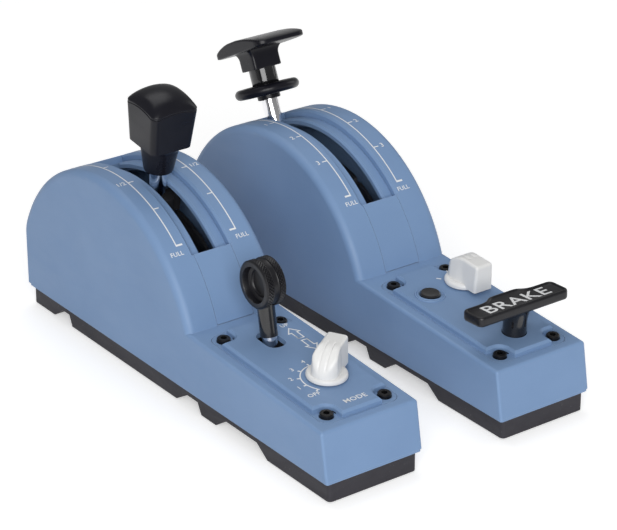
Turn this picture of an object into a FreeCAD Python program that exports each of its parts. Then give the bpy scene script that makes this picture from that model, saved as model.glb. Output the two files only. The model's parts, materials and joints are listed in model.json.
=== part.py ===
import FreeCAD, Part
import math
import os
from FreeCAD import Placement, Rotation, Vector

os.makedirs("parts", exist_ok=True)

# Throttle quadrant: a speed-brake module on the left and a flaps module on the right.
# All sizes are millimetres and degrees. A module is drawn with x = 0 at its middle,
# y = 0 at the foot of its front wall and z = 0 at the lower edge of its coloured case.

# The pair
module_pitch = 84.4          # centre to centre of the two modules
pair_stagger = 1.1           # the right one stands this much nearer the user
module_width = 46.0
case_wall = 2.6

# Case: a low front box whose top deck rises towards a round dome
front_height = 21.05
front_lean = 3.75            # how far the front wall leans back over its height
deck_slope = 3.3
dome_radius = 68.5
dome_z = 2.7                 # the dome's centre, which is also the lever's axle
dome_edge = 3.3              # rounding along the dome's rims
dome_behind = 61.4           # from the dome's centre to the flat back wall
deck_gap = 6.43              # deck left between the panel and the foot of the dome
edge_round = 1.5
corner_round = 1.0
shadow_step = 0.4            # small set-back along the lower edge
shadow_height = 1.1

# Strip let into the dome, with the lever's channel and slot
strip_width = 18.0
seam_gap = 0.2
channel_depth = 3.0
strip_floor = 2.4
slot_width = 8.2
channel_angle = 44.6         # ends of the channel, slot and strip, from the vertical
channel_rear_angle = 28.6
slot_rear_angle = 28.1
strip_rear_angle = 56.0
rail_bevel = 0.9
ledge_width = 1.8

# Control panel
panel_width = 36.6
panel_length = 78.0
panel_start = 4.0            # from the deck's front edge
panel_corner = 4.6
flange_thick = 3.0
island_rise = 2.5
island_margin = 0.9
island_bevel = 0.9
panel_skin = 2.2
panel_gap = 0.2
well_ledge = 2.3             # ledge left under the panel's long sides
notch_size = 8.4
notch_corner = 3.9
screw_inset_x = 4.5
screw_inset_y = 5.0

# Base tray and feet
base_inset = 1.95
base_front_inset = 1.1
base_rear_inset = 0.9
base_rim = 3.4
base_depth = 8.2
tray_wall = 2.4
lip_height = 3.0
lip_gap = 0.2
pad_radius = 4.65
pad_thick = 1.6
pad_stand = 0.6
pad_offset_x = 13.5
# where each block under the base starts, flattens, ends flat and ends, by base length
foot_spans = ((0.0, 0.0, 0.186, 0.219), (0.318, 0.349, 0.397, 0.409),
              (0.443, 0.480, 0.854, 0.864), (0.890, 0.921, 1.0, 1.0))

# Screws
screw_radius = 1.45
screw_head_radius = 2.75
screw_head_height = 3.0
screw_proud = 1.6            # how far a panel screw's head stands over the flange
hex_radius = 1.45
panel_screw_length = 8.0
base_screw_length = 11.0
base_screw_x = 14.8
base_screw_spots = (0.143, 0.81)

# Levers
running_gap = 0.05
axle_radius = 2.5
bush_radius = 4.0
ear_gap = 10.4               # middle of the module to the inner face of an ear
ear_thick = 3.0
gate_thick = 1.6
gate_depth = 13.1            # from the strip's underside down to the gate's rim
hub_radius = 6.6
arm_half_width = 8.4
arm_length = 38.0
arm_corner = 2.6
socket_depth = 12.0          # the tube's foot, from the axle
tube_radius = 3.7
tube_bore = 2.3
notch_step = 16.1
first_notch = -24.2
speedbrake_angle = first_notch + 2 * notch_step
flaps_angle = first_notch
detent_gap = 0.35

# Speed-brake knob
knob_clear = 3.0             # from the dome up to the knob's neck
knob_neck_length = 9.8
knob_flare = 2.8
knob_grip_length = 19.9
knob_crown = 7.2
knob_neck_low_side = 12.4
knob_neck_high_side = 15.6
knob_flare_side = 19.4
knob_side = 21.8
knob_corner = 2.8
knob_crown_steps = 6
knob_groove = 0.5

# Flaps handle and its release ring
ring_radius = 14.4
ring_thick = 4.6
ring_clear = 11.7            # from the dome up to the middle of the ring
collar_radius = 5.1
sleeve_radius = 6.0
release_travel = 3.0
sleeve_length = 6.8
handle_block = 8.6
handle_arch = 6.0            # from the wings' underside to the crown
handle_tip_drop = 3.2
handle_span = 44.0
handle_depth = 15.0
handle_corner = 5.5
handle_block_width = 14.4
handle_block_depth = 11.8

# Small controls on the panels
selector_x = 1.3
selector_along = 29.2
selector_pointing = 55.8
dial_radius = 8.35
trim_x = 10.7
trim_from_end = 20.8
button_x = -8.3
button_from_end = 22.0
button_radius = 4.25
bezel_radius = 5.6
button_travel = 1.5
gear_from_end = 18.9
gear_slot_shift = 1.3
gear_well_room = 14.4        # from the pivot to the end of the well behind it
gear_slot_length = 13.6
gear_slot_width = 8.6
gear_pivot_depth = 9.0
gear_lean = 10.4
gear_reach = 32.6
gear_wheel_radius = 10.0
gear_wheel_half = 4.65
gear_rod_radius = 3.1
gear_stem_radius = 3.6
park_x = 0.9
park_along = 17.8
park_stem_radius = 4.9
park_span = 46.4
park_depth = 12.0
park_thick = 4.3
park_top = 14.5
park_tilt = 6.0

# Worked out from the sizes above
slope = math.radians(deck_slope)
half = module_width / 2
panel_end = panel_start + panel_length
deck_end = panel_end + deck_gap
foot_y = front_lean + deck_end * math.cos(slope)
foot_z = front_height + deck_end * math.sin(slope)
dome_y = foot_y + math.sqrt(dome_radius ** 2 - (foot_z - dome_z) ** 2)
module_length = dome_y + dome_behind
gear_along = panel_end - gear_from_end
gear_slot_along = gear_along + gear_slot_shift
trim_along = panel_end - trim_from_end
button_along = panel_end - button_from_end
park_overhang = max(0.0, park_x + park_span / 2 - half)
stand_height = base_depth + pad_stand
base_half = half - base_inset
base_front = base_front_inset
base_rear = module_length - base_rear_inset
base_length = base_rear - base_front
tray_half = base_half - tray_wall
tray_floor = tray_wall - base_depth
case_half = half - case_wall
strip_half = strip_width / 2
slot_half = slot_width / 2
channel_radius = dome_radius - channel_depth
seat_radius = channel_radius - strip_floor
gate_radius = seat_radius - gate_depth
knob_neck_low = dome_radius + knob_clear
knob_neck_high = knob_neck_low + knob_neck_length
knob_shoulder = knob_neck_high + knob_grip_length
knob_top = knob_shoulder + knob_crown
ring_level = dome_radius + ring_clear
sleeve_low = ring_level + ring_thick / 2 + 0.3
handle_block_low = sleeve_low + sleeve_length
handle_low = handle_block_low + handle_block
handle_crown = handle_low + handle_arch
panel_half = panel_width / 2
panel_screw_x = panel_half - screw_inset_x
panel_screw_alongs = (panel_start + screw_inset_y, panel_end - screw_inset_y)
panel_under = island_rise - panel_skin
screw_seat = screw_proud - screw_head_height
control_middle = (panel_start + panel_end) / 2
pad_spots = (base_front + 13.0, base_rear - 8.5)
ear_out = ear_gap + ear_thick
x_axis = Vector(1, 0, 0)
z_axis = Vector(0, 0, 1)
origin = Vector(0, 0, 0)


# Building blocks

def box(x0, x1, y0, y1, z0, z1):
    return Part.makeBox(x1 - x0, y1 - y0, z1 - z0, Vector(x0, y0, z0))


def rod(radius, start, end):
    """Round bar from one point to another."""
    a, b = Vector(*start), Vector(*end)
    return Part.makeCylinder(radius, (b - a).Length, a, b - a)


def ring(outer, inner, start, end):
    return rod(outer, start, end).cut(rod(inner, start, end))


def polygon(points):
    corners = [Vector(*p) for p in points]
    return Part.makePolygon(corners + corners[:1])


def side_plate(points, x0, x1):
    """Flat outline in y and z, given thickness along x."""
    wire = polygon([(x0, y, z) for y, z in points])
    return Part.Face(wire).extrude(Vector(x1 - x0, 0, 0))


def round_rect(width, length, corner, z, x=0.0, y=0.0):
    """Rectangle with rounded corners, as a wire in a level plane."""
    hw, hl = width / 2, length / 2
    r = min(corner, hw - 0.01, hl - 0.01)
    edges = []
    for sx, sy, start in ((1, 1, 0), (-1, 1, 90), (-1, -1, 180), (1, -1, 270)):
        cx, cy = sx * (hw - r), sy * (hl - r)
        a, m, b = [math.radians(start + d) for d in (0, 45, 90)]
        p, q, s = [Vector(x + cx + r * math.cos(t), y + cy + r * math.sin(t), z) for t in (a, m, b)]
        edges.append((p, q, s))
    parts = []
    for i, (p, q, s) in enumerate(edges):
        parts.append(Part.Arc(p, q, s).toShape())
        parts.append(Part.LineSegment(s, edges[(i + 1) % 4][0]).toShape())
    return Part.Wire(parts)


def cut_rect(width, length, corner, z):
    """Rectangle with its corners cut off, as a wire in a level plane."""
    hw, hl = width / 2, length / 2
    return polygon([(hw, hl - corner, z), (hw - corner, hl, z), (corner - hw, hl, z), (-hw, hl - corner, z),
                    (-hw, corner - hl, z), (corner - hw, -hl, z), (hw - corner, -hl, z), (hw, corner - hl, z)])


def round_slab(width, length, corner, z0, z1, x=0.0, y=0.0):
    return Part.Face(round_rect(width, length, corner, z0, x, y)).extrude(Vector(0, 0, z1 - z0))


def turned(points, axis=z_axis):
    """Solid of revolution from (radius, height) points, about z or about x."""
    if axis == z_axis:
        wire = polygon([(r, 0, h) for r, h in points])
    else:
        wire = polygon([(h, 0, r) for r, h in points])
    return Part.Face(wire).revolve(origin, axis, 360)


def round_edges(shape, radius, test):
    """Fillet the edges whose middle point passes the test."""
    picked = [e for e in shape.Edges if test(e.CenterOfMass, e)]
    return shape.makeFillet(radius, picked)


def fuse(shapes):
    return shapes[0].multiFuse(shapes[1:]).removeSplitter() if len(shapes) > 1 else shapes[0]


def cut(shape, tools):
    return shape.cut(Part.makeCompound(tools)) if tools else shape


def moved(shape, x=0.0, y=0.0, z=0.0):
    copy = shape.copy()
    copy.translate(Vector(x, y, z))
    return copy


def put(shape, turn, place):
    copy = shape.copy()
    copy.Placement = Placement(Vector(*place), Rotation(x_axis, turn)).multiply(copy.Placement)
    return copy


def on_deck(shape):
    """From deck coordinates (x, distance along the deck, height over it)."""
    return put(shape, deck_slope, (0, front_lean, front_height))


def on_axle(shape, angle):
    """From lever coordinates (z along the lever from its axle); forward is positive."""
    return put(shape, angle, (0, dome_y, dome_z))


def on_gear(shape):
    y, z = gear_pivot()
    return put(shape, -gear_lean, (0, y, z))


def deck_point(along, height):
    return (front_lean + along * math.cos(slope) - height * math.sin(slope),
            front_height + along * math.sin(slope) + height * math.cos(slope))


def gear_pivot():
    return deck_point(gear_along, island_rise - gear_pivot_depth)


def dome_arc(points, start, end):
    """Sweep an (x, radius) section about the dome's axis; angles from the vertical."""
    section = Part.Face(polygon([(x, 0, r) for x, r in points]))
    swept = section.revolve(origin, x_axis, end - start)
    return on_axle(swept, start)


def dome_band(x_half, r0, r1, start, end):
    return dome_arc([(-x_half, r0), (x_half, r0), (x_half, r1), (-x_half, r1)], start, end)


def foot_of_dome():
    """Angle at which the deck's line meets the dome."""
    return math.degrees(math.atan2(dome_y - foot_y, foot_z - dome_z))


def helix_spring(coil, wire, length, turns):
    """Compression spring about z, from height 0."""
    path = Part.makeHelix(length / turns, length - wire, coil)
    w = wire / 2
    section = polygon([(coil - w, 0, -w), (coil + w, 0, -w), (coil + w, 0, w), (coil - w, 0, w)])
    spring = Part.Wire(path).makePipeShell([section], True, True)
    spring.translate(Vector(0, 0, wire / 2))
    return spring


# Case

def low_box(inset, drop, foot):
    """Front box of the case, shrunk by inset at the sides and drop under the deck."""
    top = front_height - drop / math.cos(slope)
    back = top + (dome_y - front_lean) * math.tan(slope)
    outline = [(inset, foot), (inset + front_lean, top), (dome_y, back), (dome_y, foot)]
    return side_plate(outline, inset - half, half - inset)


def dome(inset):
    """Round part of the case, cut off by the flat back wall."""
    r, h = dome_radius - inset, half - inset
    drum = rod(r, (-h, dome_y, dome_z), (h, dome_y, dome_z))
    if inset == 0:
        drum = round_edges(drum, dome_edge, lambda c, e: e.Closed)
    return drum.common(box(-h, h, 0, module_length - inset, -1 if inset else 0, 2 * dome_radius))


def panel_well(shrink, z0, z1):
    """Cross-shaped opening under the panel, which leaves the screw corners solid."""
    corner_x = panel_screw_x - 3.4 - shrink
    side_x = panel_half - well_ledge - shrink
    corner_y = screw_inset_y - 1.0 + shrink
    rear_y = panel_end - (gear_along + gear_well_room) + shrink
    side_y = screw_inset_y + 5.5 + shrink
    wide = box(-side_x, side_x, panel_start + side_y, panel_end - side_y, z0, z1)
    tall = box(-corner_x, corner_x, panel_start + corner_y, panel_end - rear_y, z0, z1)
    return wide.fuse(tall)


def make_case():
    shell = low_box(0, 0, 0)
    along_deck = lambda c, e: c.y < dome_y - 1 and c.z > front_height - 0.1
    shell = round_edges(shell, edge_round, along_deck)
    upright = lambda c, e: c.y < front_lean and 1 < c.z < front_height - 1 and abs(e.tangentAt(0).x) < 0.1
    shell = round_edges(shell, corner_round, upright)
    shell = shell.fuse(dome(0)).removeSplitter()
    around = box(-half - 1, half + 1, -1, module_length + 1, -1, shadow_height)
    inside = round_slab(module_width - 2 * shadow_step, module_length - 2 * shadow_step, corner_round,
                        -1, shadow_height, 0, module_length / 2)
    shell = shell.cut(around.cut(inside))

    # inside: two hollows joined, with a frame under the panel
    frame_depth = flange_thick + 2.4
    hollow = low_box(case_wall, case_wall, -1).fuse(dome(case_wall))
    frame = on_deck(box(-half, half, -case_wall, panel_end + 2.5, -frame_depth, 0))
    hollow = hollow.cut(frame)
    shell = shell.cut(hollow)

    # ribs that carry the strip, and posts for the base screws
    foot = foot_of_dome()
    rib = dome_band(strip_half + case_wall, seat_radius - 1.6, dome_radius - case_wall + 0.4,
                    -strip_rear_angle - 3, foot)
    posts = []
    for spot in base_screw_spots:
        y = base_front + spot * base_length
        for sx in (-1, 1):
            post = rod(3.4, (sx * base_screw_x, y, -base_rim + 0.6), (sx * base_screw_x, y, 12.5))
            web = box(0, case_half + 0.3 - base_screw_x, -1, 1, 1.5 + lip_height, 12.5)
            if sx < 0:
                web = moved(web, base_screw_x - case_half - 0.3)
            posts += [post, moved(web, sx * base_screw_x, y)]
    shell = fuse([shell, rib] + posts)

    seams = seam_gap * 180 / (math.pi * dome_radius)
    tools = [dome_band(strip_half, seat_radius, dome_radius + 2, -strip_rear_angle, foot - 0.15),
             dome_band(strip_half - ledge_width, seat_radius - 3, dome_radius,
                       -strip_rear_angle + 2, foot - 2)]
    for sx in (-1, 1):
        bevel = [(sx * (strip_half - 0.1), dome_radius - rail_bevel), (sx * (strip_half - 0.1), dome_radius + 0.5),
                 (sx * (strip_half + rail_bevel + 0.5), dome_radius + 0.5),
                 (sx * strip_half, dome_radius - rail_bevel)]
        tools.append(dome_arc(bevel, -channel_rear_angle, channel_angle + seams))
    tools.append(on_deck(round_slab(panel_width + 2 * panel_gap, panel_length + 2 * panel_gap,
                                    panel_corner + panel_gap, -flange_thick, 5, 0, control_middle)))
    tools.append(on_deck(panel_well(0, -12, 0)))
    for x, along in panel_screw_spots():
        tools.append(on_deck(rod(screw_radius, (x, along, -flange_thick - 9), (x, along, 0))))
    for x, y in base_screw_places():
        tools.append(rod(screw_radius, (x, y, -4), (x, y, 9.5)))
    shell = cut(shell, tools)
    bosses = []
    for x, along in panel_screw_spots():
        boss = ring(2.9, screw_radius, (x, along, -frame_depth - 4.5), (x, along, -frame_depth))
        bosses.append(on_deck(boss))
    return fuse([shell] + bosses)


def panel_screw_spots():
    return [(sx * panel_screw_x, along) for along in panel_screw_alongs for sx in (-1, 1)]


def base_screw_places():
    return [(sx * base_screw_x, base_front + s * base_length) for s in base_screw_spots for sx in (-1, 1)]


def make_strip():
    """Flush front block, sunk channel floor with the lever's slot, and rear block."""
    w = strip_half - seam_gap
    foot = foot_of_dome()
    front = dome_band(w, seat_radius, dome_radius, channel_angle, foot - 0.35)
    floor = dome_band(w, seat_radius, channel_radius, -channel_rear_angle - 1, channel_angle + 1)
    rear = dome_band(w, seat_radius, dome_radius, 0.2 - strip_rear_angle, -channel_rear_angle)
    slot = dome_band(slot_half, seat_radius - 1, channel_radius + 1,
                     math.degrees(slot_half / dome_radius) - slot_rear_angle, channel_angle - 0.5)
    end = on_axle(rod(slot_half, (0, 0, seat_radius - 1), (0, 0, channel_radius + 1)),
                  math.degrees(slot_half / dome_radius) - slot_rear_angle)
    strip = fuse([front, floor, rear]).cut(fuse([slot, end]))
    lip = 0.8
    for sx in (-1, 1):
        edge = [(sx * (slot_half - 0.1), channel_radius - lip), (sx * (slot_half - 0.1), channel_radius + 0.3),
                (sx * (slot_half + lip + 0.3), channel_radius + 0.3), (sx * slot_half, channel_radius - lip)]
        strip = strip.cut(dome_arc(edge, 4 - slot_rear_angle, channel_angle - 0.2))
    return strip


# Panels

def panel_blank():
    flange = round_slab(panel_width, panel_length, panel_corner, -flange_thick, 0, 0, control_middle)
    w = panel_width - 2 * island_margin
    length = panel_length - 2 * island_margin
    island = round_slab(w, length, 1.6, -0.5, island_rise, 0, control_middle)
    notches = []
    for x, along in panel_screw_spots():
        sx = 1 if x > 0 else -1
        sy = 1 if along > control_middle else -1
        reach = notch_size + 12
        cx = x + sx * (reach / 2 - notch_size / 2)
        cy = along + sy * (reach / 2 - notch_size / 2)
        notches.append(round_slab(reach, reach, notch_corner, -1, island_rise + 1, cx, cy))
    island = cut(island, notches)
    top = [e for e in island.Edges if abs(e.BoundBox.ZMin - island_rise) < 0.01
           and abs(e.BoundBox.ZMax - island_rise) < 0.01]
    island = island.makeChamfer(island_bevel, top)
    blank = flange.fuse(island).removeSplitter()
    tools = [panel_well(0.5, -flange_thick - 1, panel_under)]
    for x, along in panel_screw_spots():
        tools.append(rod(screw_radius + 0.2, (x, along, -flange_thick - 1), (x, along, 1)))
        tools.append(rod(screw_head_radius + 0.25, (x, along, screw_seat), (x, along, island_rise + 1)))
    return cut(blank, tools)


def gear_slot(z0, z1):
    return round_slab(gear_slot_width, gear_slot_length, gear_slot_width / 2 - 0.4, z0, z1, 0, gear_slot_along)


def make_left_panel():
    holes = [gear_slot(-1, island_rise + 1),
             rod(3.4, (selector_x, selector_along, -1), (selector_x, selector_along, island_rise + 1))]
    return on_deck(cut(panel_blank(), holes))


def make_right_panel():
    rim = ring(bezel_radius + 0.9, bezel_radius, (button_x, button_along, island_rise - 0.1),
               (button_x, button_along, island_rise + 0.55))
    rim = round_edges(rim, 0.35, lambda c, e: c.z > island_rise + 0.5)
    blank = panel_blank().fuse(rim)
    holes = [rod(bezel_radius, (button_x, button_along, -1), (button_x, button_along, island_rise + 1)),
             rod(3.4, (trim_x, trim_along, -1), (trim_x, trim_along, island_rise + 1)),
             rod(park_stem_radius + 0.25, (park_x, park_along, -1), (park_x, park_along, island_rise + 1))]
    return on_deck(cut(blank, holes))


def socket_screw(x, y, seat, length):
    """Socket-head screw pointing down from its seat."""
    head = rod(screw_head_radius, (x, y, seat), (x, y, seat + screw_head_height))
    rim = [e for e in head.Edges if e.Closed and e.CenterOfMass.z > seat + screw_head_height - 0.01]
    head = head.makeChamfer(0.35, rim)
    shank = rod(screw_radius, (x, y, seat - length), (x, y, seat))
    corners = [(x + hex_radius * math.cos(math.radians(60 * k)), y + hex_radius * math.sin(math.radians(60 * k)),
                seat + screw_head_height) for k in range(6)]
    socket = Part.Face(polygon(corners)).extrude(Vector(0, 0, -1.7))
    return head.fuse(shank).cut(socket)


def make_panel_screws():
    return Part.makeCompound([on_deck(socket_screw(x, along, screw_seat, panel_screw_length))
                              for x, along in panel_screw_spots()])


# Base

def foot_lines(inset, lift):
    """Lower line of the base from front to back, as (y, z) points."""
    points = []
    last = len(foot_spans) - 1
    for i, (a, b, c, d) in enumerate(foot_spans):
        y = [base_front + base_length * f for f in (a, b, c, d)]
        y = [y[0] + inset, y[1] + inset, y[2] - inset, y[3] - inset]
        low, high = lift - base_depth, lift - base_rim
        points += [(y[1], low)] if i == 0 else [(y[0], high), (y[1], low)]
        points += [(y[2], low)] if i == last else [(y[2], low), (y[3], high)]
    return points


def make_base():
    outer = side_plate([(base_front, 0)] + foot_lines(0, 0) + [(base_rear, 0)], -base_half, base_half)
    upright = lambda c, e: abs(abs(c.x) - base_half) < 0.01 and abs(e.tangentAt(e.FirstParameter).z) > 0.99 \
        and (c.y < base_front + 0.1 or c.y > base_rear - 0.1)
    outer = round_edges(outer, 1.8, upright)
    inner = side_plate([(base_front + tray_wall, 5)] + foot_lines(tray_wall, tray_wall)
                       + [(base_rear - tray_wall, 5)], -tray_half, tray_half)
    lip_out = case_half - lip_gap
    y0, y1 = case_wall + lip_gap + 0.9, module_length - case_wall - lip_gap
    lip = round_slab(2 * lip_out, y1 - y0, 1.2, -0.8, lip_height, 0, (y0 + y1) / 2)
    well = box(-tray_half, tray_half, y0 + 1.6, y1 - 1.6, -2, lip_height + 1)
    base = outer.cut(inner).fuse(lip.cut(well)).cut(box(-tray_half, tray_half, y0 + 1.6, y1 - 1.6, -0.8, 0.2))

    extra, holes = [], []
    for x, y in base_screw_places():
        extra.append(rod(4.4, (x, y, -base_depth), (x, y, -base_rim + 0.6)))
        holes.append(rod(screw_head_radius + 0.25, (x, y, -base_depth - 1), (x, y, -base_depth + 3.2)))
        holes.append(rod(screw_radius + 0.2, (x, y, -base_depth), (x, y, 0)))
    for x, y in board_posts():
        extra.append(rod(2.0, (x, y, tray_floor - 0.5), (x, y, board_level)))
        extra.append(rod(0.9, (x, y, board_level), (x, y, board_level + 2.4)))
    for sx in (-1, 1):
        extra.append(ear(sx))
    for dy in (-7.5, 7.5):
        extra.append(rod(1.3, (-ear_out - 3.0, dome_y + dy, dome_z), (-ear_out + 0.5, dome_y + dy, dome_z)))
    for x, y in pad_places():
        holes.append(rod(pad_radius + 0.1, (x, y, -base_depth - 1), (x, y, pad_thick - base_depth - pad_stand)))
    for sx in (-1, 1):
        holes.append(rod(bush_radius, (sx * (ear_gap - 1), dome_y, dome_z), (sx * (ear_out + 1), dome_y, dome_z)))
    return cut(fuse([base] + extra), holes)


board_level = 1.0


def board_posts():
    return [(sx * 8.3, y) for y in (base_front + 0.09 * base_length, base_front + 0.373 * base_length)
            for sx in (-1, 1)]


def pad_places():
    return [(sx * pad_offset_x, y) for y in pad_spots for sx in (-1, 1)]


def ear(side):
    """Upright that carries one end of the lever's axle: tangent sides up to a round head."""
    head, foot = bush_radius + 2.6, 12.0
    drop = dome_z - tray_floor
    tilt = math.atan2(foot - head, drop)
    y, z = head * math.cos(tilt), head * math.sin(tilt)
    outline = [(dome_y - foot, tray_floor - 0.5), (dome_y - foot, tray_floor), (dome_y - y, dome_z + z),
               (dome_y + y, dome_z + z), (dome_y + foot, tray_floor), (dome_y + foot, tray_floor - 0.5)]
    x0, x1 = sorted((side * ear_gap, side * ear_out))
    plate = side_plate(outline, x0, x1)
    return plate.fuse(rod(head, (x0, dome_y, dome_z), (x1, dome_y, dome_z)))


def make_pads():
    pads = []
    for x, y in pad_places():
        pad = rod(pad_radius, (x, y, -stand_height), (x, y, pad_thick - stand_height))
        rim = [e for e in pad.Edges if e.Closed and e.CenterOfMass.z < 0.01 - stand_height]
        pads.append(pad.makeChamfer(0.4, rim))
    return Part.makeCompound(pads)


def make_base_screws():
    screws = []
    for x, y in base_screw_places():
        screw = socket_screw(0, 0, 0, base_screw_length)
        screw.rotate(origin, x_axis, 180)
        screws.append(moved(screw, x, y, -base_depth + 3.2))
    return Part.makeCompound(screws)


def make_board():
    y0, y1 = base_front + 0.05 * base_length, base_front + 0.41 * base_length
    board = box(-10.8, 10.8, y0, y1, board_level, board_level + 1.6)
    board = board.cut(Part.makeCompound([rod(1.0, (x, y, 0), (x, y, 5)) for x, y in board_posts()]))
    chips = [box(-4, 4, y0 + 26, y0 + 34, board_level + 1.6, board_level + 2.6),
             box(-9, -3.5, y0 + 40, y0 + 44, board_level + 1.6, board_level + 2.8),
             box(-6, 6, y1 - 17, y1 - 12, board_level + 1.6, board_level + 6.6)]
    return fuse([board] + chips)


# Lever mechanism

def make_axle(angle):
    return on_axle(rod(axle_radius, (-ear_out - 0.6, 0, 0), (ear_out + 0.6, 0, 0)), angle)


def make_bushes():
    return Part.makeCompound([ring(bush_radius, axle_radius + running_gap, (sx * ear_gap, dome_y, dome_z),
                                   (sx * ear_out, dome_y, dome_z)) for sx in (-1, 1)])


def make_magnet(angle):
    return on_axle(rod(3.0, (-ear_out - 2.2, 0, 0), (-ear_out - 0.6, 0, 0)), angle)


def make_sensor():
    x0 = -ear_out - 3.0
    board = box(x0 - 1.2, x0, dome_y - 10, dome_y + 10, dome_z - 4.5, dome_z + 7)
    return board.fuse(box(x0, x0 + 0.5, dome_y - 2, dome_y + 2, dome_z - 2, dome_z + 2))


def make_gate(steps):
    """Notched quadrant plate beside the lever, standing on the tray against one ear."""
    a0, a1 = -channel_angle + 12, channel_angle + 2
    x0 = ear_gap - gate_thick
    sector = dome_arc([(x0, 3.2), (ear_gap, 3.2), (ear_gap, gate_radius), (x0, gate_radius)], a0, a1)
    outline = [(dome_y - 12, tray_floor), (dome_y - 9, dome_z + 14), (dome_y + 9, dome_z + 14),
               (dome_y + 12, tray_floor)]
    plate = sector.fuse(side_plate(outline, x0, ear_gap)).removeSplitter()
    tools = [rod(axle_radius + 1.0, (x0 - 1, dome_y, dome_z), (ear_gap + 1, dome_y, dome_z))]
    for k in range(steps):
        a = first_notch + k * 4 * notch_step / (steps - 1)
        tools.append(on_axle(rod(1.5, (x0 - 1, 0, gate_radius + 0.2), (ear_gap + 1, 0, gate_radius + 0.2)), a))
    for a in (a0 + 14, (a0 + a1) / 2, a1 - 14):
        tools.append(on_axle(rod(5.5, (x0 - 1, 0, 0.68 * gate_radius), (ear_gap + 1, 0, 0.68 * gate_radius)), a))
    return cut(plate, tools)


def make_arm(angle):
    """Hub on the axle, and a tapered socket for the tube."""
    hub = rod(hub_radius, (-arm_half_width, 0, 0), (arm_half_width, 0, 0))
    foot = cut_rect(2 * arm_half_width, 2 * hub_radius - 1, arm_corner, 0)
    waist = cut_rect(13.5, 12.5, arm_corner, socket_depth + 2)
    mouth = cut_rect(12.0, 12.0, arm_corner, arm_length)
    arm = hub.fuse(Part.makeLoft([foot, waist, mouth], True, True))
    arm = arm.cut(rod(axle_radius, (-20, 0, 0), (20, 0, 0)))
    arm = arm.cut(rod(tube_radius, (0, 0, socket_depth), (0, 0, arm_length + 1)))
    return on_axle(arm, angle)


def make_left_tube():
    return on_axle(rod(tube_radius, (0, 0, socket_depth), (0, 0, knob_shoulder - 6)), speedbrake_angle)


def make_right_tube():
    tube = ring(tube_radius, tube_bore, (0, 0, socket_depth), (0, 0, handle_low - 2))
    low, high = ring_level - ring_thick / 2 - 1.3, gate_radius + 1.35 + detent_gap
    slots = [box(-5, 5, -0.9, 0.9, low - 0.9, low + release_travel + 1.0),
             box(0, 5, -1.1, 1.1, high - 1.3, high + release_travel + 1.3)]
    return on_axle(cut(tube, slots), flaps_angle)


def make_release_rod():
    """Pull rod in the tube, with the pin to the ring and the latch bar over the gate."""
    low, high = ring_level - ring_thick / 2 - 1.3, gate_radius + 1.35 + detent_gap
    pull = rod(tube_bore - running_gap, (0, 0, high - 4), (0, 0, low + 3))
    pin = rod(0.8, (-collar_radius + 0.4, 0, low), (collar_radius - 0.4, 0, low))
    latch = rod(1.0, (0, 0, high), (ear_gap - 0.2, 0, high))
    return on_axle(fuse([pull, pin, latch]), flaps_angle)


def make_release_ring():
    """Round-rimmed ring with the small collar under it, on the tube."""
    z0, z1 = ring_level - ring_thick / 2, ring_level + ring_thick / 2
    rim = []
    r = ring_thick / 2
    for k in range(13):
        t = math.radians(-90 + 15 * k)
        rim.append((ring_radius - r + r * math.cos(t), ring_level + r * math.sin(t)))
    bore = sleeve_radius + 0.1
    section = [(tube_radius + running_gap, z0 - 2.0), (collar_radius, z0 - 2.0), (collar_radius, z0)]
    section += rim + [(bore, z1), (bore, z0 + 0.4), (tube_radius + running_gap, z0 + 0.4)]
    body = turned(section)
    body = body.cut(rod(0.8, (-collar_radius + 0.4, 0, z0 - 1.3), (collar_radius - 0.4, 0, z0 - 1.3)))
    return on_axle(body, flaps_angle)


def make_release_spring():
    low = ring_level - ring_thick / 2 + 0.4
    spring = helix_spring(4.75, 0.6, sleeve_low - low, 3)
    return on_axle(moved(spring, 0, 0, low), flaps_angle)


def make_flaps_handle():
    """Arched cross handle on a flared block, with the sleeve that the ring rises on."""
    h = handle_span / 2
    tip = handle_crown - handle_tip_drop
    y = -handle_depth / 2
    ends = [Vector(-h, y, tip), Vector(0, y, handle_crown), Vector(h, y, tip)]
    low = [Vector(h, y, handle_low + 0.5), Vector(h / 2, y, handle_low), Vector(-h / 2, y, handle_low),
           Vector(-h, y, handle_low + 0.5)]
    edges = [Part.Arc(*ends).toShape(), Part.LineSegment(ends[2], low[0]).toShape()]
    edges += [Part.LineSegment(a, b).toShape() for a, b in zip(low, low[1:])]
    edges.append(Part.LineSegment(low[3], ends[0]).toShape())
    bar = Part.Face(Part.Wire(edges)).extrude(Vector(0, handle_depth, 0))
    plan = round_slab(handle_span, handle_depth, handle_corner, handle_low - 1, handle_crown + 1)
    bar = bar.common(plan)
    bar = round_edges(bar, 1.3, lambda c, e: c.z > tip - 0.5)
    flare = 4.2
    stages = []
    for k in range(6):
        t = math.radians(18 * k)
        spread = flare * (1 - math.cos(t))
        stages.append((handle_block_width + 2 * spread, handle_block_depth + 0.7 * spread, 1.6,
                       handle_low + 0.4 - flare * (1 - math.sin(t))))
    stages.insert(0, (handle_block_width, handle_block_depth, 1.6, handle_block_low))
    block = Part.makeLoft([round_rect(*s) for s in stages], True, True)
    sleeve = rod(sleeve_radius, (0, 0, sleeve_low), (0, 0, handle_block_low))
    body = fuse([bar, block, sleeve])
    body = body.cut(rod(tube_radius, (0, 0, sleeve_low - 1), (0, 0, handle_low - 2)))
    return on_axle(body, flaps_angle)


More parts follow.
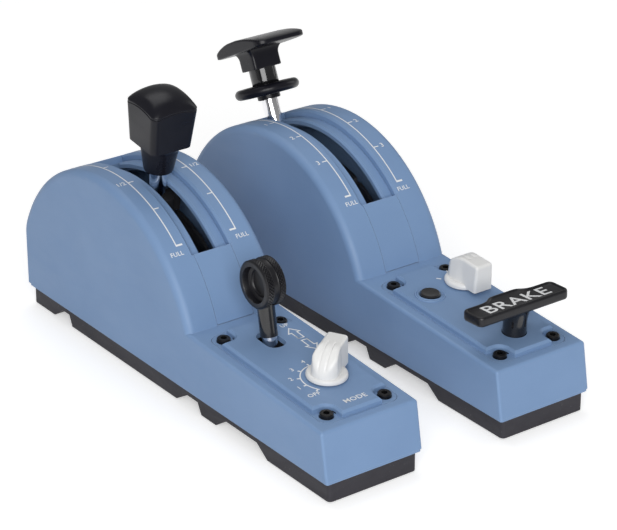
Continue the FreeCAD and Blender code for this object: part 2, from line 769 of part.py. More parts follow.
def make_speedbrake_knob():
    """Tapered neck, square grip with softened corners, and a domed crown over a fine groove."""
    stages = [(knob_neck_low_side, 0.49 * knob_neck_low_side, knob_neck_low),
              (knob_neck_high_side, 0.45 * knob_neck_high_side, knob_neck_high)]
    for share in (0.35, 0.8, 1.0):
        t = math.radians(90 * share)
        side = knob_neck_high_side + (knob_flare_side - knob_neck_high_side) * (1 - math.cos(t))
        stages.append((side, knob_corner + 2.4 * math.cos(t), knob_neck_high + knob_flare * math.sin(t)))
    stages.append((knob_side, knob_corner, knob_shoulder))
    for k in range(1, knob_crown_steps + 1):
        t = math.radians(84.0 * k / knob_crown_steps)
        side = knob_side * math.cos(t)
        stages.append((side, min(knob_corner + 0.8 * k, 0.49 * side), knob_shoulder + knob_crown * math.sin(t)))
    knob = Part.makeLoft([round_rect(w, w, r, z) for w, r, z in stages], True, True)
    low, high = knob_shoulder - 0.2 - knob_groove, knob_shoulder - 0.2
    groove = round_slab(2 * knob_side, 2 * knob_side, 1, low, high).cut(
        round_slab(knob_side - 2 * knob_groove, knob_side - 2 * knob_groove, knob_corner, low, high))
    knob = knob.cut(groove)
    bore = rod(tube_radius + running_gap, (0, 0, knob_neck_low - 1), (0, 0, knob_shoulder - 6))
    return on_axle(knob.cut(bore), speedbrake_angle)


def make_detent_block():
    """Clamp on the tube with an arm out over the gate's rim."""
    z0 = gate_radius + detent_gap
    clamp = round_slab(13, 12, 4, z0 + 0.6, z0 + 8.6)
    arm = box(0, ear_gap - 0.2, -2.6, 2.6, z0 + 0.6, z0 + 8.6)
    block = clamp.fuse(arm).removeSplitter()
    block = block.cut(rod(tube_radius, (0, 0, z0), (0, 0, z0 + 9)))
    x = ear_gap - gate_thick / 2 - 0.4
    block = block.cut(rod(1.5, (x, 0, z0), (x, 0, z0 + 6)))
    return on_axle(block, speedbrake_angle)


def make_detent_plunger():
    z0 = gate_radius + detent_gap
    x = ear_gap - gate_thick / 2 - 0.4
    pin = rod(1.5, (x, 0, z0), (x, 0, z0 + 6))
    return on_axle(round_edges(pin, 0.9, lambda c, e: c.z < z0 + 0.01 and e.Closed), speedbrake_angle)


# Controls on the left panel

def make_dial(x, along, pointing, skirt=island_rise + 0.4):
    """Skirted pointer knob: round skirt, centre boss, and a tall fin that slopes to the pointer end."""
    tail, nose, top = -11.8, 6.6, skirt + 12.8
    disc = turned([(0, skirt), (dial_radius - 0.4, skirt), (dial_radius, skirt + 0.5),
                   (dial_radius - 0.5, skirt + 2.2), (0, skirt + 2.2)])
    p = [Vector(0, tail, skirt + 1.0), Vector(0, tail, top - 1.2), Vector(0, tail + 1.2, top), Vector(0, -2.2, top),
         Vector(0, 4.0, top - 3.4), Vector(0, nose, skirt + 1.0)]
    bend = Part.BezierCurve()
    bend.setPoles([p[3], Vector(0, 3.2, top - 0.2), Vector(0, nose - 0.4, top - 4.2), p[5]])
    edges = [Part.LineSegment(p[0], p[1]).toShape(), Part.LineSegment(p[1], p[2]).toShape(),
             Part.LineSegment(p[2], p[3]).toShape(), bend.toShape(), Part.LineSegment(p[5], p[0]).toShape()]
    profile = Part.Face(Part.Wire(edges))
    fin = moved(profile, -4.25).extrude(Vector(8.5, 0, 0)).common(
        round_slab(8.5, 30, 1.6, skirt, top + 1, 0, tail + 15))
    boss = moved(profile, -6).extrude(Vector(12, 0, 0)).common(rod(5.2, (0, 1.2, skirt), (0, 1.2, top - 0.01)))
    body = fuse([disc, fin, boss])
    body = body.cut(rod(3.0, (0, 0, skirt - 1), (0, 0, skirt + 8)))
    for sx in (-1, 1):
        body = body.cut(moved(profile, sx * 1.5 - 0.35).extrude(Vector(0.7, 0, 0)).cut(
            moved(profile, sx * 1.5 - 0.35, -0.3, -0.55).extrude(Vector(0.7, 0, 0))).common(
            box(-3, 3, -3.5, 5.5, top - 5, top + 1)))
    body.rotate(origin, z_axis, 180 - pointing)
    return on_deck(moved(body, x, along))


def make_dial_shaft(x, along):
    skirt = island_rise + 0.4
    return on_deck(rod(3.0, (x, along, panel_under - 5.5), (x, along, skirt + 8)))


def make_dial_body(x, along, radius):
    """Switch or potentiometer under the panel, with a fixing collar through it."""
    body = rod(radius, (x, along, panel_under - 8), (x, along, panel_under))
    body = body.fuse(box(x - 3.5, x + 3.5, along - radius + 0.6, along + radius - 0.6,
                         panel_under - 10, panel_under - 8))
    return on_deck(body.cut(rod(3.0 + running_gap, (x, along, panel_under - 6), (x, along, 1))))


def make_gear_wheel():
    """Wheel-shaped knob: two grip bands, a smooth groove between, dished faces."""
    r, h = gear_wheel_radius, gear_wheel_half
    profile = [(0, -1.4), (0.55 * r, -1.4), (0.57 * r, -2.2), (0.70 * r, -2.4), (0.74 * r, -h), (0.93 * r, -h),
               (r, 0.7 - h), (r, -1.5), (0.93 * r, -1.1), (0.93 * r, 1.1), (r, 1.5), (r, h - 0.7), (0.93 * r, h),
               (0.74 * r, h), (0.70 * r, 2.4), (0.57 * r, 2.2), (0.55 * r, 1.4), (0, 1.4)]
    wheel = moved(turned(profile, x_axis), 0, 0, gear_reach)
    socket = rod(gear_stem_radius, (0, 0, gear_reach - r - 2), (0, 0, gear_reach - r + 1.2))
    return on_gear(wheel.cut(socket))


def make_gear_stem():
    low = gear_pivot_depth + 1.6
    stem = ring(gear_stem_radius, gear_rod_radius, (0, 0, low), (0, 0, gear_reach - gear_wheel_radius + 1.2))
    return on_gear(stem)


def make_gear_rod():
    bar = rod(gear_rod_radius, (0, 0, -3.4), (0, 0, gear_reach - gear_wheel_radius + 1.2))
    bar = round_edges(bar, 1.0, lambda c, e: c.z < -3.3 and e.Closed)
    return on_gear(bar.cut(rod(1.5 + running_gap, (-6, 0, 0), (6, 0, 0))))


def gear_deck_pivot():
    return gear_along, island_rise - gear_pivot_depth


def make_gear_bracket():
    """Saddle under the panel with an ear each side of the gear lever."""
    along, height = gear_deck_pivot()
    ears = []
    for x0, x1 in ((-7.0, -gear_rod_radius - 0.9), (gear_rod_radius + 0.9, 7.0)):
        outline = [(along - 5.5, panel_under), (along - 3.6, height), (along - 2.0, height - 3.2),
                   (along + 2.0, height - 3.2), (along + 3.6, height), (along + 5.5, panel_under)]
        ears.append(side_plate(outline, x0, x1))
    top = box(-7, 7, along - 9.0, along + 10.0, panel_under - 1.6, panel_under)
    slot = round_slab(gear_slot_width + 1, gear_slot_length + 1, 4, panel_under - 3, panel_under + 1,
                      0, gear_slot_along)
    body = fuse([top.cut(slot)] + ears)
    return on_deck(body.cut(rod(1.5, (-8, along, height), (8, along, height))))


def make_gear_pin():
    along, height = gear_deck_pivot()
    return on_deck(rod(1.5, (-7.6, along, height), (7.6, along, height)))


def make_gear_switches():
    along, height = gear_deck_pivot()
    switches = []
    for y0 in (along - 12.8, along + 10.2):
        body = box(-6.4, 6.4, y0, y0 + 3.6, panel_under - 6.5, panel_under)
        legs = [box(x - 0.3, x + 0.3, y0 + 1.4, y0 + 2.2, panel_under - 9.5, panel_under - 6.5) for x in (-5, 0, 5)]
        switches.append(on_deck(fuse([body] + legs)))
    return Part.makeCompound(switches)


# Controls on the right panel

def make_button():
    z0, z1 = panel_under - 2.0, island_rise + 1.4
    cap = turned([(0, z0), (button_radius + 0.6, z0), (button_radius + 0.6, z0 + 1.4), (button_radius, z0 + 1.4),
                  (button_radius, z1 - 0.5), (button_radius - 0.5, z1), (1.8, z1 - 0.25), (0, z1 - 0.3)])
    return on_deck(moved(cap, button_x, button_along))


def make_bezel():
    z0 = panel_under - 4.5
    ring_out = turned([(button_radius + 0.75, z0), (bezel_radius + 0.5, z0), (bezel_radius + 0.5, panel_under),
                       (bezel_radius, panel_under), (bezel_radius, island_rise + 0.35),
                       (bezel_radius - 0.5, island_rise + 0.75), (button_radius + 0.15, island_rise + 0.2),
                       (button_radius + 0.15, panel_under - 0.4), (button_radius + 0.75, panel_under - 0.4)])
    return on_deck(moved(ring_out, button_x, button_along))


def make_button_switch():
    z1 = panel_under - 4.5
    body = round_slab(13, 13, 1.5, z1 - 3.5, z1)
    body = body.fuse(rod(2.0, (0, 0, z1 - 0.2), (0, 0, z1 + 0.3)))
    return on_deck(moved(body, button_x, button_along))


def make_button_spring():
    low = panel_under - 4.5
    spring = helix_spring(3.1, 0.4, 2.5, 2)
    return on_deck(moved(spring, button_x, button_along, low))


def make_park_handle():
    """Cross handle with a raised rim round its label face, swept up from a round stem."""
    plate_top = island_rise + park_top
    z0 = plate_top - park_thick
    bar = round_slab(park_span, park_depth, 2.4, z0, plate_top)
    bulge = round_slab(19.0, 10.0, 2.4, z0, plate_top, 0, park_depth / 2 - 1.9)
    body = bar.fuse(bulge).removeSplitter()
    inner = lambda c, e: abs(abs(c.x) - 9.5) < 0.3 and abs(c.y - park_depth / 2) < 0.3 \
        and e.Length > park_thick - 0.2
    body = round_edges(body, 2.6, inner)
    rim = 1.1
    pocket = round_slab(park_span - 2 * rim, park_depth - 2 * rim, 1.6, plate_top - 0.5, plate_top + 1).fuse(
        round_slab(19.0 - 2 * rim, 10.0 - 2 * rim, 1.6, plate_top - 0.5, plate_top + 1, 0, park_depth / 2 - 1.9))
    body = round_edges(body, 0.8, lambda c, e: abs(c.z - z0) < 0.01 or abs(c.z - plate_top) < 0.01)
    body = body.cut(pocket)
    body.rotate(Vector(0, 0, plate_top - park_thick), x_axis, -park_tilt)
    flare = Part.makeLoft([Part.Wire(Part.Circle(Vector(0, 0, island_rise + 6.0), z_axis, park_stem_radius).toShape()),
                           Part.Wire(Part.Circle(Vector(0, 0, z0 - 2.4), z_axis, park_stem_radius + 0.3).toShape()),
                           ellipse(8.6, 5.4, z0 + 0.9)], True)
    stem = rod(park_stem_radius, (0, 0, panel_under - 8.2), (0, 0, island_rise + 6.0))
    stem = stem.cut(ring(park_stem_radius + 1, park_stem_radius - 0.7, (0, 0, panel_under - 7.4),
                         (0, 0, panel_under - 6.4)))
    handle = stem.fuse(flare).fuse(body)
    return on_deck(moved(handle, park_x, park_along))


def ellipse(major, minor, z):
    return Part.Wire(Part.Ellipse(Vector(major, 0, z), Vector(0, minor, z), Vector(0, 0, z)).toShape())


def make_park_bush():
    bush = ring(park_stem_radius + 1.4, park_stem_radius + running_gap, (park_x, park_along, panel_under - 6.2),
                (park_x, park_along, panel_under))
    return on_deck(bush)


def make_park_clip():
    clip = ring(park_stem_radius + 1.3, park_stem_radius - 0.7, (0, 0, panel_under - 7.4), (0, 0, panel_under - 6.4))
    gap = box(-1.6, 1.6, 0, 8, panel_under - 8, panel_under - 6)
    return on_deck(moved(clip.cut(gap), park_x, park_along))


# Every piece goes to its own file, in the frame of the whole pair

def save(side, name, shape):
    stagger = pair_stagger if side > 0 else 0.0
    placed = moved(shape, side * module_pitch / 2 - park_overhang / 2,
                   -stagger - (module_length - pair_stagger) / 2, stand_height)
    placed.exportStep("parts/" + ("left_" if side < 0 else "right_") + name + ".step")


for side, angle, steps in ((-1, speedbrake_angle, 3), (1, flaps_angle, 5)):
    save(side, "case", make_case())
    save(side, "dome_strip", make_strip())
    save(side, "base", make_base())
    save(side, "rubber_feet", make_pads())
    save(side, "base_screws", make_base_screws())
    save(side, "panel_screws", make_panel_screws())
    save(side, "circuit_board", make_board())
    save(side, "lever_axle", make_axle(angle))
    save(side, "axle_bushes", make_bushes())
    save(side, "axle_magnet", make_magnet(angle))
    save(side, "angle_sensor", make_sensor())
    save(side, "gate_plate", make_gate(steps))
    save(side, "lever_arm", make_arm(angle))

save(-1, "control_panel", make_left_panel())
save(-1, "lever_tube", make_left_tube())
save(-1, "speedbrake_knob", make_speedbrake_knob())
save(-1, "detent_block", make_detent_block())
save(-1, "detent_plunger", make_detent_plunger())
save(-1, "selector_knob", make_dial(selector_x, selector_along, selector_pointing))
save(-1, "selector_shaft", make_dial_shaft(selector_x, selector_along))
save(-1, "selector_switch", make_dial_body(selector_x, selector_along, 6.6))
save(-1, "gear_wheel", make_gear_wheel())
save(-1, "gear_stem", make_gear_stem())
save(-1, "gear_rod", make_gear_rod())
save(-1, "gear_bracket", make_gear_bracket())
save(-1, "gear_pin", make_gear_pin())
save(-1, "gear_switches", make_gear_switches())

save(1, "control_panel", make_right_panel())
save(1, "lever_tube", make_right_tube())
save(1, "flaps_handle", make_flaps_handle())
save(1, "release_ring", make_release_ring())
save(1, "release_rod", make_release_rod())
save(1, "release_spring", make_release_spring())
save(1, "trim_knob", make_dial(trim_x, trim_along, 180.0))
save(1, "trim_shaft", make_dial_shaft(trim_x, trim_along))
save(1, "trim_sensor", make_dial_body(trim_x, trim_along, 4.4))
save(1, "reset_button", make_button())
save(1, "reset_bezel", make_bezel())
save(1, "reset_spring", make_button_spring())
save(1, "reset_switch", make_button_switch())
save(1, "park_brake_handle", make_park_handle())
save(1, "park_brake_bush", make_park_bush())
save(1, "park_brake_clip", make_park_clip())
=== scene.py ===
import json
import math

import bmesh
import bpy
import numpy as np
from mathutils import Matrix, Vector


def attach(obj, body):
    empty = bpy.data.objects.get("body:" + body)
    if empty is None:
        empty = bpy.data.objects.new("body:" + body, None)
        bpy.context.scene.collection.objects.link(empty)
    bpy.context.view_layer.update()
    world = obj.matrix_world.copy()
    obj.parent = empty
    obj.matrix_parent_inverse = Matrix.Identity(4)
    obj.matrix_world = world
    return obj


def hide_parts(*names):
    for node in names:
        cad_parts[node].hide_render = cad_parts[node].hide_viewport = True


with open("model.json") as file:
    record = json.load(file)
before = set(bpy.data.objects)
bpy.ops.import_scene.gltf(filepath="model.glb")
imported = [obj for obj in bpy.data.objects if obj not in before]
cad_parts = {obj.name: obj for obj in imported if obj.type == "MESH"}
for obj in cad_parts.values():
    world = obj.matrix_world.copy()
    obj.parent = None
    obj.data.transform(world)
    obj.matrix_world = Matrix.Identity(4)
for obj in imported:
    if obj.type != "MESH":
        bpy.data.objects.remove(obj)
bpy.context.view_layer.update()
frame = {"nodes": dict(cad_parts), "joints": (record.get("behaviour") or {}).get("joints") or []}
mm = 0.001
print("frame loaded:", len(frame["nodes"]), "nodes")


# places read from the frame, and the few that it doesn't give

domeRadius = 68.5  # to the painted skin of the dome
leverLean = {"speedbrake": 8.0, "gear": -10.4}  # degrees from upright towards the panels, as they stand
panelKnobs = {"left": ("selector", 1.3, 29.2), "right": ("trim", 10.7, 61.2)}  # across and along the deck
joints = {j["name"]: j for j in frame["joints"]}


def arrayOf(values):
    return np.array(values, float)


def axesAbout(normal, forward=(0.0, 1.0, 0.0)):
    # columns are across, along and up, with up on the given normal
    up = arrayOf(normal) / np.linalg.norm(normal)
    across = np.cross(forward, up)
    across /= np.linalg.norm(across)
    return np.stack([across, np.cross(up, across), up], axis=1)


def leverAxes(lean):
    # the lever's own frame: up runs along the lever, leaning towards the panels
    t = math.radians(lean)
    return axesAbout((0, -math.sin(t), math.cos(t)))


def jointSpot(name, axes=None):
    # a joint's point, with the joint's own axis as up unless other axes are given
    joint = joints[name]
    return arrayOf(joint["pos_m"]), axesAbout(joint["axis"]) if axes is None else axes


spots = {
    "selector": jointSpot("selector_turn"),
    "trim": jointSpot("trim_turn"),
    "park": jointSpot("park_brake_turn"),
    "speedbrake": jointSpot("speedbrake_swing", leverAxes(leverLean["speedbrake"])),
    "flaps": jointSpot("flaps_swing", axesAbout(joints["release_lift"]["axis"])),
    "gear": jointSpot("gear_swing", leverAxes(leverLean["gear"])),
}


def place(points, spot):
    # points in millimetres in a piece's own frame, put into the object's frame in metres
    origin, axes = spots[spot]
    return (points * mm) @ axes.T + origin


def onPanel(points, side):
    # x from the module's middle, y along the deck from its front edge, z over the panel's top
    spot, x, along = panelKnobs[side]
    return place(points - arrayOf([x, along, 0.0]), spot)


def onDome(points, side):
    # x across, y as an angle in degrees from the top towards the panels, z over the dome's skin
    spot = "speedbrake" if side == "left" else "flaps"
    origin = spots[spot][0]
    angle = np.radians(points[..., 1])
    r = domeRadius + points[..., 2]
    return np.stack([points[..., 0], -r * np.sin(angle), r * np.cos(angle)], axis=-1) * mm + origin


# surfaces worked out as arrays

def ringShape(arcSteps, sideSteps):
    # a rounded rectangle as centre factors and outward directions: four arcs joined by four sides
    centres, outward = [], []
    for quarter in range(4):
        t = np.radians(90.0 * quarter + np.linspace(0, 90, arcSteps))
        sx = 1 if quarter in (0, 3) else -1
        sy = 1 if quarter in (0, 1) else -1
        centres.append(np.tile([sx, sy], (arcSteps, 1)).astype(float))
        outward.append(np.stack([np.cos(t), np.sin(t)], axis=1))
        s = np.linspace(0, 1, sideSteps + 1)[1:-1, None]
        nextCorner = arrayOf([[-sy, sx]])
        centres.append(centres[-1][-1] * (1 - s) + nextCorner * s)
        outward.append(np.tile(outward[-1][-1], (sideSteps - 1, 1)))
    return np.concatenate(centres), np.concatenate(outward)


def sectionTube(halfX, halfY, corner, height, ring, bow=None):
    # rounded rectangles stacked along z: each point is a corner's centre plus the radius in its direction;
    # a bow lifts the middles of the four sides
    centres, outward = ring
    hx, hy, r, z = [np.asarray(a, float)[:, None] for a in (halfX, halfY, corner, height)]
    r = np.minimum(r, np.minimum(hx, hy) * 0.999)
    x = centres[None, :, 0] * (hx - r) + outward[None, :, 0] * r
    y = centres[None, :, 1] * (hy - r) + outward[None, :, 1] * r
    z = z + np.zeros_like(x)
    if bow is not None:
        middle = (1 - centres[:, 0] ** 2) * abs(outward[:, 1]) + (1 - centres[:, 1] ** 2) * abs(outward[:, 0])
        z = z + np.asarray(bow, float)[:, None] * middle[None, :]
    return np.stack([x, y, z], axis=-1)


def turnedSurface(profile, steps=96):
    # a profile of radius and height carried round the z axis
    profile = arrayOf(profile)
    t = np.linspace(0, 2 * math.pi, steps, endpoint=False)
    r, z = profile[:, 0][:, None], profile[:, 1][:, None]
    return np.stack([r * np.cos(t), r * np.sin(t), z + 0 * t], axis=-1)


def meshPiece(name, grid, material, body, replaced=(), sharp=38, closedTube=True, capped=True):
    # joins a grid of points into quads, with a fan at each end where it is capped
    rows, cols = grid.shape[:2]
    points = grid.reshape(-1, 3)
    i = np.arange(rows - 1)[:, None] * cols
    across = np.arange(cols if closedTube else cols - 1)
    j, k = across, (across + 1) % cols
    quads = np.stack([i + j, i + k, i + cols + k, i + cols + j], axis=-1).reshape(-1, 4)
    faces = quads.tolist()
    if capped:
        first, last = grid[0].mean(axis=0), grid[-1].mean(axis=0)
        points = np.concatenate([points, [first, last]])
        a, b = rows * cols, rows * cols + 1
        base = (rows - 1) * cols
        faces += np.stack([k, j, a + 0 * j], axis=-1).tolist()
        faces += np.stack([base + j, base + k, b + 0 * j], axis=-1).tolist()
    return finishPiece(name, points, faces, material, body, replaced, sharp)


def finishPiece(name, points, faces, material, body, replaced=(), sharp=38):
    mesh = bpy.data.meshes.new(name)
    mesh.from_pydata(points.tolist(), [], faces)
    mesh.validate()
    mesh.update()
    piece = bpy.data.objects.new(name, mesh)
    bpy.context.scene.collection.objects.link(piece)
    tidyNormals(mesh)
    mesh.polygons.foreach_set("use_smooth", [True] * len(mesh.polygons))
    mesh.set_sharp_from_angle(angle=math.radians(sharp))
    mesh.materials.append(material)
    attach(piece, body)
    if replaced:
        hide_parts(*replaced)
    return piece


def tidyNormals(mesh):
    # doubles are merged, and the faces of the closed shell are turned outwards
    work = bmesh.new()
    work.from_mesh(mesh)
    bmesh.ops.remove_doubles(work, verts=work.verts, dist=1e-8)
    bmesh.ops.recalc_face_normals(work, faces=work.faces)
    work.to_mesh(mesh)
    work.free()


# shader groups shared by several finishes

def newGroup(name, inputs, outputs):
    tree = bpy.data.node_groups.new(name, "ShaderNodeTree")
    for label, kind, value in inputs:
        socket = tree.interface.new_socket(name=label, in_out="INPUT", socket_type=kind)
        socket.default_value = value
    for label, kind in outputs:
        tree.interface.new_socket(name=label, in_out="OUTPUT", socket_type=kind)
    return tree, tree.nodes.new("NodeGroupInput"), tree.nodes.new("NodeGroupOutput")


def addNode(tree, kind, **settings):
    node = tree.nodes.new(kind)
    for key, value in settings.items():
        if key in node.inputs:
            node.inputs[key].default_value = value
        else:
            setattr(node, key, value)
    return node


def mathNode(tree, operation, first, second=None, clamp=False):
    node = tree.nodes.new("ShaderNodeMath")
    node.operation = operation
    node.use_clamp = clamp
    for slotNumber, value in enumerate((first, second)):
        if value is None:
            continue
        if isinstance(value, (int, float)):
            node.inputs[slotNumber].default_value = value
        else:
            tree.links.new(value, node.inputs[slotNumber])
    return node.outputs[0]


def makeMouldedGrain():
    # fine spark-eroded grain, and slow patches of tone, on object coordinates
    number = "NodeSocketFloat"
    inputs = [("Grain Scale", number, 2600.0), ("Patch Scale", number, 22.0)]
    outputs = [("Height", number), ("Tone", number), ("Speckle", number)]
    tree, given, result = newGroup("mouldedGrain", inputs, outputs)
    where = tree.nodes.new("ShaderNodeTexCoord").outputs["Object"]
    fine = addNode(tree, "ShaderNodeTexNoise", Detail=3.0, Roughness=0.6)
    pits = addNode(tree, "ShaderNodeTexVoronoi", feature="SMOOTH_F1", Smoothness=0.4)
    slow = addNode(tree, "ShaderNodeTexNoise", Detail=5.0, Roughness=0.55, Distortion=0.4)
    for node, scale in ((fine, "Grain Scale"), (pits, "Grain Scale"), (slow, "Patch Scale")):
        tree.links.new(where, node.inputs["Vector"])
        tree.links.new(given.outputs[scale], node.inputs["Scale"])
    mixed = mathNode(tree, "ADD", mathNode(tree, "MULTIPLY", fine.outputs[0], 0.7),
                     mathNode(tree, "MULTIPLY", pits.outputs["Distance"], 0.5))
    tree.links.new(mixed, result.inputs["Height"])
    tree.links.new(slow.outputs[0], result.inputs["Tone"])
    spread = addNode(tree, "ShaderNodeMapRange", clamp=True)
    spread.inputs["From Min"].default_value = 0.62
    spread.inputs["From Max"].default_value = 0.80
    tree.links.new(fine.outputs[0], spread.inputs["Value"])
    tree.links.new(spread.outputs[0], result.inputs["Speckle"])
    return tree


def makeEdgeWearAndHighlight():
    # where the rounded normal leaves the true one lies an edge, broken up by noise; the paler colour mixed in
    # there is partly rubbed edges and partly a painted highlight
    number = "NodeSocketFloat"
    tree, given, result = newGroup("edgeWear", [("Width", number, 0.0006), ("Strength", number, 4.0),
                                                ("Patch Scale", number, 180.0)], [("Mask", number)])
    rounded = addNode(tree, "ShaderNodeBevel", samples=4)
    tree.links.new(given.outputs["Width"], rounded.inputs["Radius"])
    flat = tree.nodes.new("ShaderNodeNewGeometry")
    dot = addNode(tree, "ShaderNodeVectorMath", operation="DOT_PRODUCT")
    tree.links.new(rounded.outputs["Normal"], dot.inputs[0])
    tree.links.new(flat.outputs["Normal"], dot.inputs[1])
    bend = mathNode(tree, "SUBTRACT", 1.0, dot.outputs["Value"])
    patch = addNode(tree, "ShaderNodeTexNoise", Detail=4.0, Roughness=0.7)
    tree.links.new(tree.nodes.new("ShaderNodeTexCoord").outputs["Object"], patch.inputs["Vector"])
    tree.links.new(given.outputs["Patch Scale"], patch.inputs["Scale"])
    broken = mathNode(tree, "MULTIPLY", bend, mathNode(tree, "ADD", patch.outputs[0], 0.25))
    strong = mathNode(tree, "MULTIPLY", broken, given.outputs["Strength"], clamp=True)
    tree.links.new(strong, result.inputs["Mask"])
    return tree


def makeHandling():
    # faint smears and dust that lift the roughness here and there
    number = "NodeSocketFloat"
    inputs = [("Smear Scale", number, 60.0), ("Dust Scale", number, 900.0)]
    tree, given, result = newGroup("handlingMarks", inputs, [("Smear", number), ("Dust", number)])
    where = tree.nodes.new("ShaderNodeTexCoord").outputs["Object"]
    stretch = addNode(tree, "ShaderNodeMapping")
    stretch.inputs["Scale"].default_value = (1.0, 0.45, 1.6)
    tree.links.new(where, stretch.inputs["Vector"])
    smear = addNode(tree, "ShaderNodeTexNoise", Detail=6.0, Roughness=0.62, Distortion=1.2)
    tree.links.new(stretch.outputs[0], smear.inputs["Vector"])
    tree.links.new(given.outputs["Smear Scale"], smear.inputs["Scale"])
    dust = addNode(tree, "ShaderNodeTexNoise", Detail=2.0, Roughness=0.5)
    tree.links.new(where, dust.inputs["Vector"])
    tree.links.new(given.outputs["Dust Scale"], dust.inputs["Scale"])
    speck = addNode(tree, "ShaderNodeMapRange", clamp=True)
    speck.inputs["From Min"].default_value = 0.70
    speck.inputs["From Max"].default_value = 0.78
    tree.links.new(dust.outputs[0], speck.inputs["Value"])
    tree.links.new(smear.outputs[0], result.inputs["Smear"])
    tree.links.new(speck.outputs[0], result.inputs["Dust"])
    return tree


def makeTurningMarks():
    # fine rings left by a lathe: a wave along the axis, which is first turned upright
    number = "NodeSocketFloat"
    tree, given, result = newGroup("turningMarks", [("Ring Scale", number, 700.0), ("Lean", number, 0.0)],
                                   [("Height", number), ("Tone", number)])
    where = tree.nodes.new("ShaderNodeTexCoord").outputs["Object"]
    turn = addNode(tree, "ShaderNodeVectorRotate", rotation_type="X_AXIS")
    tree.links.new(where, turn.inputs["Vector"])
    tree.links.new(given.outputs["Lean"], turn.inputs["Angle"])
    rings = addNode(tree, "ShaderNodeTexWave", wave_type="BANDS", bands_direction="Z", Distortion=0.6,
                    Detail=3.0)
    tree.links.new(turn.outputs[0], rings.inputs["Vector"])
    tree.links.new(given.outputs["Ring Scale"], rings.inputs["Scale"])
    tone = addNode(tree, "ShaderNodeTexNoise", Scale=90.0, Detail=3.0)
    tree.links.new(where, tone.inputs["Vector"])
    tree.links.new(rings.outputs["Fac"], result.inputs["Height"])
    tree.links.new(tone.outputs[0], result.inputs["Tone"])
    return tree


mouldedGrain = makeMouldedGrain()
edgeWear = makeEdgeWearAndHighlight()
handlingMarks = makeHandling()
turningMarks = makeTurningMarks()
print("shader groups ready")


# finishes

def useGroup(tree, group, **values):
    node = tree.nodes.new("ShaderNodeGroup")
    node.node_tree = group
    for key, value in values.items():
        node.inputs[key.replace("_", " ")].default_value = value
    return node


def mixColour(tree, factor, first, second):
    node = tree.nodes.new("ShaderNodeMix")
    node.data_type = "RGBA"
    tree.links.new(factor, node.inputs["Factor"])
    for label, value in ((6, first), (7, second)):
        if isinstance(value, tuple):
            node.inputs[label].default_value = (*value, 1.0)
        else:
            tree.links.new(value, node.inputs[label])
    return node.outputs[2]


def rangeNode(tree, value, low, high, fromLow=0.3, fromHigh=0.7):
    node = tree.nodes.new("ShaderNodeMapRange")
    node.inputs["From Min"].default_value = fromLow
    node.inputs["From Max"].default_value = fromHigh
    node.inputs["To Min"].default_value = low
    node.inputs["To Max"].default_value = high
    tree.links.new(value, node.inputs["Value"])
    return node.outputs[0]


dustColour = (0.62, 0.62, 0.60)


def plasticFinish(name, look):
    # moulded plastic: slow patches of tone, paler edges that are partly rubbed and partly a painted
    # highlight, grain in the bump, smears in the roughness
    material = bpy.data.materials.new(name)
    material.use_nodes = True
    tree = material.node_tree
    shader = tree.nodes["Principled BSDF"]
    grain = useGroup(tree, mouldedGrain, Grain_Scale=look["grainScale"],
                     Patch_Scale=look.get("patchScale", 22.0))
    wear = useGroup(tree, edgeWear, Width=look.get("wearWidth", 0.0005), Strength=look.get("wear", 3.0))
    marks = useGroup(tree, handlingMarks, Smear_Scale=look.get("smearScale", 55.0))
    base = mixColour(tree, rangeNode(tree, grain.outputs["Tone"], 0.0, 1.0), look["dark"], look["light"])
    speck = mixColour(tree, mathNode(tree, "MULTIPLY", grain.outputs["Speckle"], look.get("speckle", 0.12)),
                      base, look["worn"])
    # the edge mask mixes in the paler colour: partly rubbed edges, partly a painted highlight along them
    worn = mixColour(tree, mathNode(tree, "MULTIPLY", wear.outputs["Mask"], look.get("wearMix", 0.35)),
                     speck, look["worn"])
    dusty = mixColour(tree, mathNode(tree, "MULTIPLY", marks.outputs["Dust"], look.get("dust", 0.05)),
                      worn, dustColour)
    tree.links.new(dusty, shader.inputs["Base Color"])
    low, high = look["roughness"]
    tree.links.new(rangeNode(tree, marks.outputs["Smear"], low, high), shader.inputs["Roughness"])
    shader.inputs["Specular IOR Level"].default_value = look.get("specular", 0.4)
    shader.inputs["Coat Weight"].default_value = look.get("coat", 0.0)
    shader.inputs["Coat Roughness"].default_value = look.get("coatRoughness", 0.3)
    bump = addNode(tree, "ShaderNodeBump", Strength=look.get("bump", 0.25),
                   Distance=look.get("depth", 0.00006))
    tree.links.new(grain.outputs["Height"], bump.inputs["Height"])
    tree.links.new(bump.outputs[0], shader.inputs["Normal"])
    return material


def metalFinish(name, look):
    # turned or drawn metal: fine rings in the bump and the roughness, slow tone
    material = bpy.data.materials.new(name)
    material.use_nodes = True
    tree = material.node_tree
    shader = tree.nodes["Principled BSDF"]
    rings = useGroup(tree, turningMarks, Ring_Scale=look["ringScale"],
                     Lean=math.radians(look.get("lean", 0.0)))
    marks = useGroup(tree, handlingMarks, Smear_Scale=look.get("smearScale", 120.0))
    wear = useGroup(tree, edgeWear, Width=0.0003, Strength=look.get("wear", 2.0))
    base = mixColour(tree, rangeNode(tree, rings.outputs["Tone"], 0.0, 1.0), look["dark"], look["light"])
    worn = mixColour(tree, mathNode(tree, "MULTIPLY", wear.outputs["Mask"], 0.5), base, look["worn"])
    tree.links.new(worn, shader.inputs["Base Color"])
    shader.inputs["Metallic"].default_value = look.get("metallic", 1.0)
    low, high = look["roughness"]
    tree.links.new(rangeNode(tree, marks.outputs["Smear"], low, high), shader.inputs["Roughness"])
    bump = addNode(tree, "ShaderNodeBump", Strength=look.get("bump", 0.06), Distance=0.00002)
    tree.links.new(rings.outputs["Height"], bump.inputs["Height"])
    tree.links.new(bump.outputs[0], shader.inputs["Normal"])
    return material
